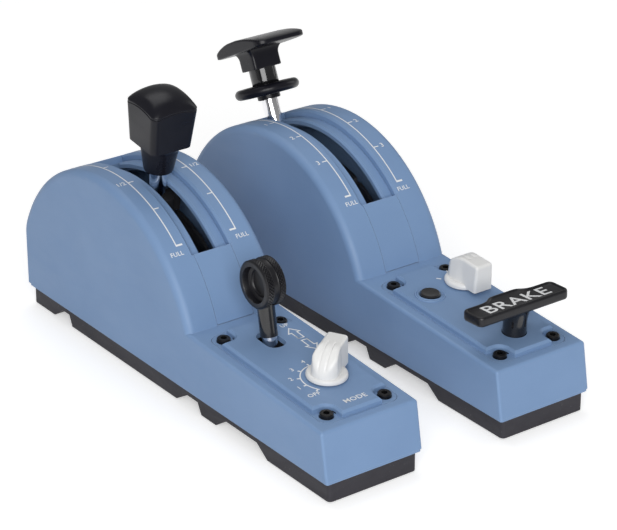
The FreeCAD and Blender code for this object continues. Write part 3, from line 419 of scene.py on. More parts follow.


# the case's edges are mixed strongly towards a paler blue, a painted highlight along its rims as well as
# rubbed paint
caseBlue = plasticFinish("caseBlue", {
    "dark": (0.172, 0.278, 0.468), "light": (0.190, 0.302, 0.500), "worn": (0.34, 0.45, 0.63),
    "roughness": (0.42, 0.54), "grainScale": 2400.0, "bump": 0.34, "depth": 0.00007, "specular": 0.36,
    "wearMix": 0.6, "wearWidth": 0.0006})
panelBlue = plasticFinish("panelBlue", {
    "dark": (0.165, 0.266, 0.448), "light": (0.182, 0.290, 0.480), "worn": (0.36, 0.47, 0.65),
    "roughness": (0.46, 0.58), "grainScale": 2800.0, "bump": 0.25, "depth": 0.00006, "specular": 0.35})
baseGrey = plasticFinish("baseGrey", {
    "dark": (0.022, 0.021, 0.027), "light": (0.032, 0.030, 0.038), "worn": (0.10, 0.10, 0.11),
    "roughness": (0.55, 0.72), "grainScale": 1700.0, "bump": 0.5, "depth": 0.0001, "dust": 0.10})
knobBlack = plasticFinish("knobBlack", {
    "dark": (0.0055, 0.0055, 0.009), "light": (0.009, 0.009, 0.014), "worn": (0.04, 0.04, 0.048),
    "roughness": (0.24, 0.36), "grainScale": 3200.0, "bump": 0.10, "depth": 0.00003, "specular": 0.26,
    "speckle": 0.03, "dust": 0.008, "wearMix": 0.2})
gripBlack = plasticFinish("gripBlack", {
    "dark": (0.006, 0.006, 0.008), "light": (0.010, 0.010, 0.013), "worn": (0.05, 0.05, 0.056),
    "roughness": (0.30, 0.42), "grainScale": 2200.0, "bump": 0.2, "depth": 0.00005, "specular": 0.4,
    "speckle": 0.04, "dust": 0.012, "wearMix": 0.25})
knobWhite = plasticFinish("knobWhite", {
    "dark": (0.74, 0.74, 0.735), "light": (0.80, 0.80, 0.79), "worn": (0.86, 0.86, 0.85),
    "roughness": (0.30, 0.42), "grainScale": 3000.0, "bump": 0.08, "depth": 0.00003, "specular": 0.45,
    "speckle": 0.05, "dust": 0.05, "wearMix": 0.2})
inkWhite = plasticFinish("inkWhite", {
    "dark": (0.74, 0.75, 0.76), "light": (0.82, 0.83, 0.84), "worn": (0.60, 0.66, 0.74),
    "roughness": (0.5, 0.62), "grainScale": 2600.0, "bump": 0.1, "speckle": 0.25, "wearMix": 0.1})
rubberBlack = plasticFinish("rubberBlack", {
    "dark": (0.012, 0.012, 0.012), "light": (0.020, 0.020, 0.020), "worn": (0.07, 0.07, 0.07),
    "roughness": (0.75, 0.9), "grainScale": 1200.0, "bump": 0.5, "depth": 0.0001, "dust": 0.2,
    "specular": 0.25})
innerBlack = plasticFinish("innerBlack", {
    "dark": (0.012, 0.012, 0.014), "light": (0.020, 0.020, 0.022), "worn": (0.06, 0.06, 0.065),
    "roughness": (0.5, 0.65), "grainScale": 2000.0, "bump": 0.3})
boardGreen = plasticFinish("boardGreen", {
    "dark": (0.010, 0.070, 0.032), "light": (0.016, 0.110, 0.050), "worn": (0.35, 0.28, 0.10),
    "roughness": (0.22, 0.35), "grainScale": 600.0, "patchScale": 260.0, "bump": 0.2, "speckle": 0.6})
chromeTube = metalFinish("chromeTube", {
    "dark": (0.78, 0.78, 0.80), "light": (0.90, 0.90, 0.92), "worn": (0.95, 0.95, 0.96),
    "roughness": (0.06, 0.16), "ringScale": 900.0, "lean": 8.0})
innerSteel = metalFinish("innerSteel", {
    "dark": (0.42, 0.42, 0.43), "light": (0.56, 0.56, 0.57), "worn": (0.70, 0.70, 0.71),
    "roughness": (0.28, 0.42), "ringScale": 700.0, "bump": 0.15})
springSteel = metalFinish("springSteel", {
    "dark": (0.32, 0.32, 0.34), "light": (0.46, 0.46, 0.48), "worn": (0.66, 0.66, 0.68),
    "roughness": (0.22, 0.36), "ringScale": 1500.0, "bump": 0.1})
bushBronze = metalFinish("bushBronze", {
    "dark": (0.40, 0.24, 0.10), "light": (0.55, 0.36, 0.17), "worn": (0.75, 0.55, 0.30),
    "roughness": (0.30, 0.45), "ringScale": 800.0, "bump": 0.15})
screwBlack = metalFinish("screwBlack", {
    "dark": (0.008, 0.008, 0.010), "light": (0.014, 0.014, 0.016), "worn": (0.20, 0.19, 0.18),
    "roughness": (0.26, 0.40), "ringScale": 1100.0, "bump": 0.1, "wear": 3.0, "metallic": 0.6})
glossBlack = plasticFinish("glossBlack", {
    "dark": (0.006, 0.006, 0.007), "light": (0.010, 0.010, 0.012), "worn": (0.05, 0.05, 0.055),
    "roughness": (0.12, 0.20), "grainScale": 3200.0, "bump": 0.05, "depth": 0.00002, "specular": 0.5,
    "speckle": 0.03, "dust": 0.03, "coat": 0.4, "coatRoughness": 0.08})
inkBright = plasticFinish("inkBright", {
    "dark": (0.70, 0.71, 0.72), "light": (0.80, 0.81, 0.82), "worn": (0.55, 0.56, 0.58),
    "roughness": (0.4, 0.5), "grainScale": 2600.0, "bump": 0.08, "speckle": 0.1, "wearMix": 0.05})
print("finishes ready")

# each node's finish, by its name without left or right
nodeFinish = {
    "case": caseBlue, "dome_strip": caseBlue, "control_panel": panelBlue, "reset_bezel": panelBlue,
    "base": baseGrey, "rubber_feet": rubberBlack, "base_screws": screwBlack, "panel_screws": screwBlack,
    "speedbrake_knob": knobBlack, "flaps_handle": knobBlack, "release_ring": knobBlack,
    "gear_wheel": gripBlack, "park_brake_handle": gripBlack,
    "gear_stem": glossBlack, "reset_button": glossBlack,
    "selector_knob": knobWhite, "trim_knob": knobWhite,
    "lever_tube": chromeTube, "gear_rod": chromeTube, "axle_magnet": chromeTube,
    "gate_plate": innerSteel, "lever_axle": innerSteel, "detent_plunger": innerSteel, "gear_pin": innerSteel,
    "selector_shaft": innerSteel, "trim_shaft": innerSteel, "release_rod": innerSteel,
    "release_spring": springSteel, "reset_spring": springSteel, "park_brake_clip": springSteel,
    "axle_bushes": bushBronze, "circuit_board": boardGreen, "angle_sensor": boardGreen,
    "lever_arm": innerBlack, "detent_block": innerBlack, "selector_switch": innerBlack,
    "gear_bracket": innerBlack, "gear_switches": innerBlack, "trim_sensor": innerBlack,
    "reset_switch": innerBlack, "park_brake_bush": innerBlack,
}
for nodeName, node in frame["nodes"].items():
    node.data.materials.clear()
    node.data.materials.append(nodeFinish[nodeName.split("_", 1)[1]])


# printed marks

ink = {"lift": 0.015, "thick": 0.05, "spacing": 1.06, "bold": 0.008}  # bold is a share of the letters' size


def flatPatch(name, points, material, body, spotFunction):
    # a closed thin tile over a grid of points: the grid at its top, at its foot, and walls between
    top, foot = points.copy(), points.copy()
    top[..., 2] += ink["lift"] + ink["thick"]
    foot[..., 2] += ink["lift"]
    rows, cols = points.shape[:2]
    both = np.concatenate([spotFunction(top).reshape(-1, 3), spotFunction(foot).reshape(-1, 3)])
    i = np.arange(rows - 1)[:, None] * cols
    j = np.arange(cols - 1)[None, :]
    quads = np.stack([i + j, i + j + 1, i + cols + j + 1, i + cols + j], axis=-1).reshape(-1, 4)
    edge = np.concatenate([np.arange(cols), np.arange(1, rows) * cols + cols - 1,
                           (rows - 1) * cols + np.arange(cols - 2, -1, -1),
                           np.arange(rows - 2, 0, -1) * cols])
    after = np.roll(edge, -1)
    shift = rows * cols
    walls = np.stack([edge, after, after + shift, edge + shift], axis=-1)
    faces = quads.tolist() + (quads[:, ::-1] + shift).tolist() + walls.tolist()
    return finishPiece(name, both, faces, material, body, sharp=60)


def ribbon(name, line, width, spotFunction, closed=False):
    # a line of constant width: each point pushed both ways along its mitred normal
    line = arrayOf(line)
    ahead = np.roll(line, -1, axis=0) - line
    behind = line - np.roll(line, 1, axis=0)
    if not closed:
        ahead[-1] = behind[-1]
        behind[0] = ahead[0]
    ahead /= np.linalg.norm(ahead, axis=1)[:, None]
    behind /= np.linalg.norm(behind, axis=1)[:, None]
    normals = np.stack([-(ahead + behind)[:, 1], (ahead + behind)[:, 0]], axis=1)
    normals /= np.linalg.norm(normals, axis=1)[:, None]
    straight = np.stack([-ahead[:, 1], ahead[:, 0]], axis=1)
    mitre = width / 2 / np.maximum(0.35, np.sum(normals * straight, axis=1))
    sides = np.stack([line + normals * mitre[:, None], line - normals * mitre[:, None]], axis=1)
    if closed:
        sides = np.concatenate([sides, sides[:1]])
    flat = np.concatenate([sides, np.zeros(sides.shape[:2] + (1,))], axis=-1)
    return flatPatch(name, flat, inkWhite, "stands", spotFunction)


def lettering(name, words, size, x, y, spotFunction, material=inkWhite, body="stands"):
    # words laid flat, moved and then carried on to the surface that they are printed on
    curve = bpy.data.curves.new(name, "FONT")
    curve.body = words
    curve.size = size
    curve.align_x = "CENTER"
    curve.align_y = "CENTER"
    curve.extrude = ink["thick"] / 2
    curve.resolution_u = 3
    curve.space_character = ink["spacing"]
    curve.offset = size * ink["bold"]
    holder = bpy.data.objects.new(name + "Curve", curve)
    bpy.context.scene.collection.objects.link(holder)
    bpy.context.view_layer.update()
    mesh = bpy.data.meshes.new_from_object(holder.evaluated_get(bpy.context.evaluated_depsgraph_get()))
    bpy.data.objects.remove(holder)
    bpy.data.curves.remove(curve)
    flat = np.empty(len(mesh.vertices) * 3)
    mesh.vertices.foreach_get("co", flat)
    flat = flat.reshape(-1, 3)
    spread = flat + arrayOf([x, y, ink["lift"] + ink["thick"] / 2])
    faces = [list(p.vertices) for p in mesh.polygons]
    piece = finishPiece(name, spotFunction(spread), faces, material, body, sharp=60)
    bpy.data.meshes.remove(mesh)
    return piece


def panelSpot(side):
    return lambda points: onPanel(points, side)


def domeSpot(side, x, angle):
    # a flat label whose middle lies at that x and angle, wrapped round the dome
    def put(points):
        wrapped = angle - np.degrees(points[:, 1] / domeRadius)
        return onDome(np.stack([points[:, 0] + x, wrapped, points[:, 2]], axis=1), side)
    return put


domeScale = {
    "width": 0.5, "end": 39.9, "rear": -36.0, "step": 16.1, "tick": 2.6, "endTick": 1.1, "endThick": 1.6,
    "size": 3.3, "endSize": 2.7, "endAside": 1.4, "endDrop": 3.0, "samples": 1.5,
    "left": {"line": 14.4, "ticks": -1, "aside": 3.4, "words": ("FULL", None, "1/2", None, "0")},
    "right": {"line": 12.3, "ticks": 1, "aside": 4.6, "words": ("FULL", "3", "2", "1", "0")},
}


def domeBar(name, side, x0, x1, a0, a1):
    # a painted bar between two x values and two angles, laid on the dome as a thin closed tile
    steps = max(2, int(abs(a1 - a0) * domeScale["samples"]) + 2)
    x, a = np.meshgrid([x0, x1], np.linspace(a0, a1, steps))
    return flatPatch(name, np.stack([x, a, 0 * x], axis=-1), inkWhite, "stands", lambda p: onDome(p, side))


def paintDomeScale(side):
    # a line along each side of the channel, with a tick and a word at every step back from the full end
    scale, look = domeScale, domeScale[side]
    half = scale["width"] / 2
    for hand, label in ((-1, "ScaleL"), (1, "ScaleR")):
        line = hand * look["line"]
        outward = hand * look["ticks"]
        mark = side + label
        domeBar(mark, side, line - half, line + half, scale["rear"], scale["end"])
        for number, word in enumerate(look["words"]):
            angle = scale["end"] - number * scale["step"]
            isEnd = number == 0
            thick = math.degrees(half / domeRadius) * (scale["endThick"] if isEnd else 1.0)
            reach = line + outward * scale["tick"] * (scale["endTick"] if isEnd else 1.0)
            x0, x1 = sorted((line - outward * half, reach))
            domeBar(mark + "Tick" + str(number), side, x0, x1, angle - thick, angle + thick)
            if word:
                x = line + hand * (scale["endAside"] if isEnd else look["aside"])
                low = angle + (scale["endDrop"] if isEnd else 0.0)
                size = scale["endSize" if isEnd else "size"]
                lettering(mark + "Word" + str(number), word, size, 0, 0, domeSpot(side, x, low))


for side in ("left", "right"):
    paintDomeScale(side)
print("dome scales printed")

# panel markings: the selector's arc with ticks and words, the gear arrows, and the trim ticks
panelMarks = {
    "line": 0.5, "boldTick": 1.3, "arc": 10.3, "arcPast": 4.0, "tick": 1.5,
    "angles": (55.8, 84.8, 113.9, 143.8, 175.8, 205.8), "words": ("OFF", "1", "2", "3", "4", "5"),
    "size": 3.1, "wordRadius": 14.1, "longWord": 0.6,
    "caption": ("MODE", 0.8, 10.4, 3.6), "up": ("UP", 11.0, 70.6, 3.0), "down": ("DN", 11.0, 45.6, 3.0),
    "arrowX": 11.0, "arrowHalf": 2.7, "arrowShaft": 1.3, "arrowHead": 3.7,
    "upArrow": (59.0, 67.6), "downArrow": (57.2, 48.6),
    "trimAngles": (-42.0, 0.0, 42.0), "trimRadius": (9.6, 11.6),
}


def aroundSelector(radius, angle):
    # the dial's angles run from the user's side (-y) round towards -x
    t = np.radians(angle)
    x, along = panelKnobs["left"][1:]
    return np.stack([x - radius * np.sin(t), along - radius * np.cos(t)], axis=-1)


def hollowArrow(name, base, tip):
    # outline of an arrow: shaft corners, head corners and point, as one closed ribbon
    look = panelMarks
    x, way = look["arrowX"], 1 if tip > base else -1
    neck = tip - way * look["arrowHead"]
    corners = [(-look["arrowShaft"], base), (look["arrowShaft"], base), (look["arrowShaft"], neck),
               (look["arrowHalf"], neck), (0, tip), (-look["arrowHalf"], neck), (-look["arrowShaft"], neck)]
    ribbon(name, [(x + way * a, b) for a, b in corners], look["line"], panelSpot("left"), closed=True)


def paintPanels():
    look = panelMarks
    onLeft, onRight = panelSpot("left"), panelSpot("right")
    angles, tickWidth = look["angles"], look["line"] * look["boldTick"]
    sweep = np.linspace(angles[0] - look["arcPast"], angles[-1] + look["arcPast"], 60)
    ribbon("selectorArc", aroundSelector(look["arc"], sweep), look["line"], onLeft)
    for number, (angle, word) in enumerate(zip(angles, look["words"])):
        ends = aroundSelector(arrayOf([look["arc"], look["arc"] + look["tick"]]), arrayOf([angle, angle]))
        ribbon("selectorTick" + str(number), ends, tickWidth, onLeft)
        radius = look["wordRadius"] + (look["longWord"] if len(word) > 1 else 0.0)
        lettering("selectorWord" + str(number), word, look["size"], *aroundSelector(radius, angle), onLeft)
    for key in ("caption", "up", "down"):
        word, x, along, size = look[key]
        lettering(key + "Word", word, size, x, along, onLeft)
    hollowArrow("upArrow", *look["upArrow"])
    hollowArrow("downArrow", *look["downArrow"])
    x, along = panelKnobs["right"][1:]
    for number, angle in enumerate(look["trimAngles"]):
        t = math.radians(angle)
        line = [(x + r * math.sin(t), along + r * math.cos(t)) for r in look["trimRadius"]]
        ribbon("trimTick" + str(number), line, tickWidth, onRight)


paintPanels()
print("panels printed")


# speed-brake knob: rounded squares stacked up the lever, for a neck, a flare, a grip, a fine seam and a crown
knobLook = {
    "neckLow": 71.5, "neckHigh": 81.3, "flareTop": 84.1, "seam": 101.2,
    "neckHalf": (6.2, 7.8), "gripHalf": (9.7, 10.9), "corner": 2.8, "neckCorner": 7.55, "neckSquaring": 0.25,
    "footRise": (0.0, 0.12, 0.4), "footInset": (0.45, 0.12, 0.0), "underSeam": 0.35,
    "seamRise": (-0.22, -0.05, 0.08, 0.25), "seamInset": (0.168, 0.28, 0.28, 0.07),
    "crown": 6.9, "crownEdge": 0.35, "crownRounding": 12, "bow": 1.3, "bowFrom": 92.0,
}


def speedbrakeKnob():
    look = knobLook
    neckLow, neckHigh, flareTop, seam = [look[k] for k in ("neckLow", "neckHigh", "flareTop", "seam")]
    (neckFrom, neckTo), (gripFrom, gripTo) = look["neckHalf"], look["gripHalf"]
    up = np.linspace(0, 1, 9)[1:]
    turn = np.linspace(0, math.pi / 2, 10)[1:]
    side = np.linspace(0, 1, 14)[1:]
    seamRise = arrayOf(look["seamRise"])
    # heights, half widths and corners from the foot up;
    # the neck and the grip taper straight, and the flare is a quarter ellipse
    z = np.concatenate([neckLow + arrayOf(look["footRise"]), neckLow + (neckHigh - neckLow) * up,
                        neckHigh + (flareTop - neckHigh) * np.sin(turn),
                        flareTop + (seam - look["underSeam"] - flareTop) * side, seam + seamRise])
    neckHalf = neckFrom + (neckTo - neckFrom) * up
    half = np.concatenate([neckFrom - arrayOf(look["footInset"]), neckHalf,
                           neckTo + (gripFrom - neckTo) * (1 - np.cos(turn)),
                           gripFrom + (gripTo - gripFrom) * side, gripTo - arrayOf(look["seamInset"])])
    corner = np.concatenate([half[:3], neckHalf - look["neckSquaring"] * up,
                             look["corner"] + (look["neckCorner"] - look["corner"]) * np.cos(turn) ** 1.5,
                             np.full(len(side) + len(seamRise), look["corner"])])
    bow = look["bow"] * np.clip((z - look["bowFrom"]) / (seam - look["bowFrom"]), 0, 1) ** 3
    ring = ringShape(9, 24)
    grid = sectionTube(half, half, corner, z, ring, bow=bow)
    # crown: the height over the seam is the root of the product of two parabolas, one along each side
    one = arrayOf([1.0])
    plan = sectionTube(gripTo * one, gripTo * one, look["corner"] * one, 0 * one, ring)[0, :, :2]
    share = np.sin(np.linspace(math.radians(87), math.radians(1), 40))[:, None, None]
    over = plan[None] * share
    x2, y2 = (over[..., 0] / gripTo) ** 2, (over[..., 1] / gripTo) ** 2
    bulge = ((1 - x2) * (1 - y2)) ** 0.5 * (1 - share[..., 0] ** look["crownRounding"]) ** 0.5
    rise = look["crown"] - look["crownEdge"] - look["bow"]
    lift = look["crownEdge"] + look["bow"] * (1 - x2 * y2) + rise * bulge
    grid = np.concatenate([grid, np.concatenate([over, (seam + lift)[..., None]], axis=-1)])
    meshPiece("speedbrakeKnob", place(grid, "speedbrake"), knobBlack, "speedbrake_lever",
              ("left_speedbrake_knob",), sharp=45)


# flaps handle: a wing with an airfoil's section from front to rear, a block that flares into it, and a sleeve
flapsLook = {
    "half": 12.7, "front": -22.6, "rear": 17.0, "planRound": 5.0, "edge": 1.0, "squareness": 0.3,
    "thinnest": 0.3,
    "top": ((-22.6, 101.7), (-14.0, 103.2), (-5.0, 104.0), (2.0, 103.8), (11.0, 101.8), (17.0, 99.0)),
    "under": ((-22.6, 99.3), (-10.0, 98.6), (0.0, 98.1), (10.0, 97.6), (17.0, 97.1)),
    "blockLow": 89.6, "blockHigh": 99.2, "blockHalf": (7.2, 5.9), "blockCorner": 1.3,
    "footRise": (0.0, 0.1, 0.45), "footInset": (0.5, 0.12, 0.0),
    "flare": 4.6, "flareTurn": 1.45, "flareDeep": 0.3,
    "sleeve": 6.0, "sleeveLow": 81.8, "bore": 3.8, "boreTop": 5.6, "springBore": 5.45, "springTop": 4.5,
}


def flapsWing():
    look = flapsLook
    h, r = look["half"], look["planRound"]
    x = (h * np.sin(np.linspace(-math.pi / 2, math.pi / 2, 81)))[:, None]
    past = np.clip((np.abs(x) - (h - r)) / r, 0, 1)
    pull = r * (1 - np.sqrt(1 - past ** 2))
    front, rear = look["front"] + pull, look["rear"] - pull
    # a superellipse round each section is stretched between two curves, a quartic on top and a cubic under it
    t = np.linspace(0, 2 * math.pi, 160, endpoint=False)[None, :]
    along = np.sign(np.cos(t)) * np.abs(np.cos(t)) ** look["squareness"]
    lift = np.sign(np.sin(t)) * np.abs(np.sin(t)) ** look["squareness"]
    y = (front + rear) / 2 + (rear - front) / 2 * along
    top = np.polyval(np.polyfit(*arrayOf(look["top"]).T, 4), y)
    under = np.polyval(np.polyfit(*arrayOf(look["under"]).T, 3), y)
    side = np.clip((np.abs(x) - h + look["edge"]) / look["edge"], 0, 1)
    thick = (top - under) / 2
    thick = np.maximum(look["thinnest"] * thick, thick - look["edge"] * (1 - np.sqrt(1 - side ** 2)))
    wing = np.stack([x + 0 * y, y, (top + under) / 2 + thick * lift], axis=-1)
    meshPiece("flapsWing", place(wing, "flaps"), knobBlack, "flaps_lever",
              ("right_flaps_handle",), sharp=50)


def flapsBlock():
    # rounded rectangles whose side is a quarter circle that starts upright and ends level, under the wing
    look = flapsLook
    t = np.linspace(0, look["flareTurn"], 14)
    flareZ = look["blockHigh"] - look["flare"] * (1 - np.sin(t))
    a, b = look["blockHalf"]
    low = look["blockLow"]
    z = np.concatenate([low + arrayOf(look["footRise"]), np.linspace(low + 1.2, flareZ[0] - 0.4, 5), flareZ])
    grow = np.concatenate([-arrayOf(look["footInset"]), np.zeros(5), look["flare"] * (1 - np.cos(t))])
    corner = np.full(len(z), look["blockCorner"])
    block = sectionTube(a + grow, b + grow * look["flareDeep"], corner, z, ringShape(6, 6))
    meshPiece("flapsBlock", place(block, "flaps"), knobBlack, "flaps_lever",
              ("right_flaps_handle",), sharp=50)


def flapsSleeve():
    # bored for the tube, and opened wider below as the spring's pocket
    look = flapsLook
    r, low, bore, wide = look["sleeve"], look["sleeveLow"], look["bore"], look["springBore"]
    boreTop, springTop, high = low + look["boreTop"], low + look["springTop"], look["blockLow"] + 0.4
    sleeve = turnedSurface([(0.05, boreTop), (bore, boreTop), (bore, springTop + 0.1), (wide, springTop),
                            (wide, low + 0.1), (wide + 0.1, low), (r - 0.15, low + 0.12), (r, low + 0.45),
                            (r, low + 3.4), (r, high), (r - 0.6, high + 0.2)])
    meshPiece("flapsSleeve", place(sleeve, "flaps"), glossBlack, "flaps_lever",
              ("right_flaps_handle",), sharp=50)


# release ring: a fat rim on a thinner web and a small collar, all one profile carried round the lever
ringLook = {
    "middle": 80.2, "outer": 14.4, "half": 2.3, "web": 1.5, "webOuter": 10.6, "well": 6.1, "wellFloor": 0.4,
    "collar": 5.1, "collarDrop": 2.0, "bore": 3.75, "edge": 0.3, "rimTurn": 150,
}


def releaseRing():
    look = ringLook
    m, r, web, edge = look["middle"], look["half"], look["web"], look["edge"]
    bore, collar, well, inner = look["bore"], look["collar"], look["well"], look["webOuter"] - 1.0
    foot, floor = m - r - look["collarDrop"], m - r + look["wellFloor"]
    t = np.linspace(-look["rimTurn"], look["rimTurn"], 25) * math.pi / 180
    rim = np.stack([look["outer"] - r + r * np.cos(t), m + r * np.sin(t)], axis=1)
    lower = [(bore, floor), (bore, foot), (collar - edge, foot), (collar, foot + edge),
             (collar, m - web - 0.25), (collar + edge, m - web), (inner, m - web)]
    upper = [(inner, m + web), (well + edge, m + web), (well, m + web - 0.2), (well, floor + 0.2),
             (well - edge, floor), (bore, floor)]
    profile = np.concatenate([arrayOf(lower), rim, arrayOf(upper)])
    meshPiece("releaseRing", place(turnedSurface(profile, 128), "flaps"), knobBlack, "flaps_release",
              ("right_release_ring",), sharp=40, capped=False)


# gear wheel: two knurled bands round a smooth groove, and dished faces with a step;
# the dish's and the groove's points are shares of the radius with heights in millimetres
wheelLook = {
    "reach": 32.6, "radius": 10.0, "half": 4.65, "band": (1.45, 4.1), "bandRows": 17,
    "dish": ((0.0, 0.75), (0.54, 0.75), (0.565, 0.95), (0.58, 1.5), (0.61, 1.65), (0.69, 1.7), (0.715, 1.9)),
    "rimBelowFace": ((0.735, 0.35), (0.755, 0.0), (0.90, 0.0), (0.94, 0.06), (0.962, 0.25)),
    "grooveBelowBand": ((0.955, 0.12), (0.94, 0.35), (0.935, 0.85)),
    "teeth": 46, "cut": 0.6, "twist": 2.3, "sharpness": 1.9, "sink": 0.02, "steps": 368,
}


def gearWheel():
    look = wheelLook
    r, h = look["radius"], look["half"]
    bandLow, bandHigh = look["band"]
    half = arrayOf([(share * r, z) for share, z in look["dish"]]
                   + [(share * r, h - z) for share, z in look["rimBelowFace"]]
                   + [(r, z) for z in np.linspace(bandHigh, bandLow, look["bandRows"])]
                   + [(share * r, bandLow - z) for share, z in look["grooveBelowBand"]])
    profile = np.concatenate([half, half[::-1] * arrayOf([1, -1])])
    t = np.linspace(0, 2 * math.pi, look["steps"], endpoint=False)[None, :]
    radius, along = profile[:, 0][:, None], profile[:, 1][:, None]
    # knurl: two helical waves of opposite twist cut the band wherever either of them is low
    onBand = radius > 0.99 * r
    inBand = (np.abs(np.abs(along) - (bandLow + bandHigh) / 2) < (bandHigh - bandLow) / 2 - 0.05) * onBand
    first = np.abs(np.sin(look["teeth"] * t / 2 + look["twist"] * along))
    second = np.abs(np.sin(look["teeth"] * t / 2 - look["twist"] * along))
    cut = look["cut"] * (1 - np.minimum(1.0, look["sharpness"] * np.minimum(first, second)))
    radius = radius - inBand * cut - onBand * look["sink"]
    grid = np.stack([along + 0 * t, radius * np.sin(t), look["reach"] + radius * np.cos(t)], axis=-1)
    meshPiece("gearWheel", place(grid, "gear"), gripBlack, "gear_lever", ("left_gear_wheel",),
              sharp=38, capped=False)


# pointer knobs: a round skirt, and a fin whose upright sections change along its length
pointerLook = {
    "skirt": 8.35, "foot": 0.42, "skirtTop": 2.55, "top": 13.15, "tail": -12.3, "nose": 7.6, "edge": 1.2,
    "slopeFrom": -3.0, "slopePower": 2.1, "slopeRoot": 0.55, "sunk": 1.2, "noseDrop": 0.4, "noseRound": 5.2,
    "noseWidth": 0.06, "halfTop": 4.3, "draft": 0.5, "bossHalf": 5.7, "swell": 4.5,
    "grooves": (-1.45, 1.45), "grooveDepth": 0.45, "grooveWidth": 0.34, "grooveFrom": -5.0,
    "grooveStart": 1.2,
}


def pointerFin():
    look = pointerLook
    tailEdge, slopeFrom, nose = look["edge"], look["slopeFrom"], look["nose"]
    tailTurn = np.linspace(0, math.pi / 2, 9)
    tailDrop = tailEdge * (1 - np.sin(tailTurn))
    tail = len(tailTurn)
    s = np.concatenate([look["tail"] + tailEdge * (1 - np.cos(tailTurn)),
                        np.linspace(look["tail"] + tailEdge + 0.4, slopeFrom, 16),
                        slopeFrom + (nose - slopeFrom) * np.sin(np.linspace(0.05, math.pi / 2, 34))])
    # the top falls away as a superellipse from the slope's start to the nose
    share = np.clip((s - slopeFrom) / (nose - slopeFrom), 0, 1)
    noseHeight = look["skirtTop"] - look["noseDrop"]
    fall = np.maximum(0.0, 1 - share ** look["slopePower"]) ** look["slopeRoot"]
    top = noseHeight + (look["top"] - noseHeight) * fall
    top[:tail] = look["top"] - tailDrop
    # in plan the sides swell by a smooth step towards the boss, and the nose closes as a circle
    rounded = np.clip((s - (nose - look["noseRound"])) / look["noseRound"], 0, 1)
    swell = np.clip((s + look["swell"]) / look["swell"], 0, 1)
    finHalf = look["halfTop"] + look["draft"]
    halfLow = ((finHalf + (look["bossHalf"] - finHalf) * swell * swell * (3 - 2 * swell))
               * np.sqrt(np.maximum(look["noseWidth"], 1 - rounded ** 2)))
    halfLow[:tail] -= tailDrop
    halfHigh = np.minimum(halfLow - look["draft"],
                          look["halfTop"] + (look["bossHalf"] - look["halfTop"]) * share)
    halfHigh[:tail] = halfLow[:tail] - look["draft"]
    # each section: up the left side, round the corner, across the top, and down the right side
    base = look["skirtTop"] - look["sunk"]
    arc = np.linspace(0, math.pi / 2, 7)
    height = np.maximum(top - base, 0.05)[:, None]
    edge = np.minimum(look["edge"], height * 0.49)
    halfTop = np.maximum(halfHigh, 0.3)[:, None]
    edgeX = np.minimum(edge, halfTop * 0.9)
    up = np.linspace(0, 1, 7)[None, :-1]
    sideX = halfLow[:, None] + (halfTop - halfLow[:, None]) * up
    sideZ = base + (height - edge) * up
    cornerX = halfTop - edgeX * (1 - np.cos(arc))[None, :]
    cornerZ = base + height - edge * (1 - np.sin(arc))[None, :]
    across = np.linspace(-1, 1, 49)[None, 1:-1] * (halfTop - edgeX)
    acrossZ = base + height + 0 * across
    x = np.concatenate([-sideX, -cornerX, across, cornerX[:, ::-1], sideX[:, ::-1]], axis=1)
    z = np.concatenate([sideZ, cornerZ, acrossZ, cornerZ[:, ::-1], sideZ[:, ::-1]], axis=1)
    # grooves: two troughs whose depth is a bell curve across the fin
    start = np.clip((s - look["grooveFrom"]) / look["grooveStart"], 0, 1)[:, None]
    for middle in look["grooves"]:
        trough = np.exp(-((x - middle) / look["grooveWidth"]) ** 2) * (z > base + height * 0.6)
        z = z - look["grooveDepth"] * start * trough
    return np.stack([x, s[:, None] + 0 * x, z], axis=-1)


def pointerKnob(name, spot, turn, replaced):
    look = pointerLook
    t = math.radians(turn)
    spin = arrayOf([[math.cos(t), -math.sin(t), 0], [math.sin(t), math.cos(t), 0], [0, 0, 1]])
    fin = pointerFin() @ spin.T
    meshPiece(name + "Fin", place(fin, spot), knobWhite, spot, replaced, sharp=50)
    r, foot, high = look["skirt"], look["foot"], look["skirtTop"]
    skirt = turnedSurface([(0.05, foot), (r - 0.6, foot), (r - 0.15, foot + 0.12), (r, foot + 0.5),
                           (r - 0.1, foot + 1.3), (r - 0.35, foot + 1.75), (r - 0.8, high),
                           (r - 2.0, high + 0.05), (0.05, high + 0.05)])
    meshPiece(name + "Skirt", place(skirt, spot), knobWhite, spot, replaced, sharp=50)


# park brake handle: a plan outline stepped inwards level by level, on a stem that spreads into an oval;
# each level is a height and an inset, from the foot, from the top, and for the sunk face
parkLook = {
    "span": 46.4, "depth": 12.0, "thick": 4.3, "top": 14.5, "tilt": 6.0, "end": 2.6,
    "bulge": 3.0, "bulgeHalf": 8.9, "bulgePower": 8, "rim": 1.25, "recess": 0.65,
    "overFoot": ((0.0, 1.5), (0.08, 0.85), (0.35, 0.35), (0.9, 0.06), (1.4, 0.0)),
    "underTop": ((1.1, 0.0), (0.55, 0.08), (0.2, 0.28), (0.03, 0.6), (0.0, 0.85)),
    "stem": 4.9, "stemLow": -8.4, "stemHigh": 4.8, "spreadFrom": 5.2, "spreadInto": 0.9, "oval": (8.6, 5.4),
    "word": "BRAKE", "wordSize": 9.6, "wordAt": (0.2, 0.1), "wordWiden": 1.12,
}


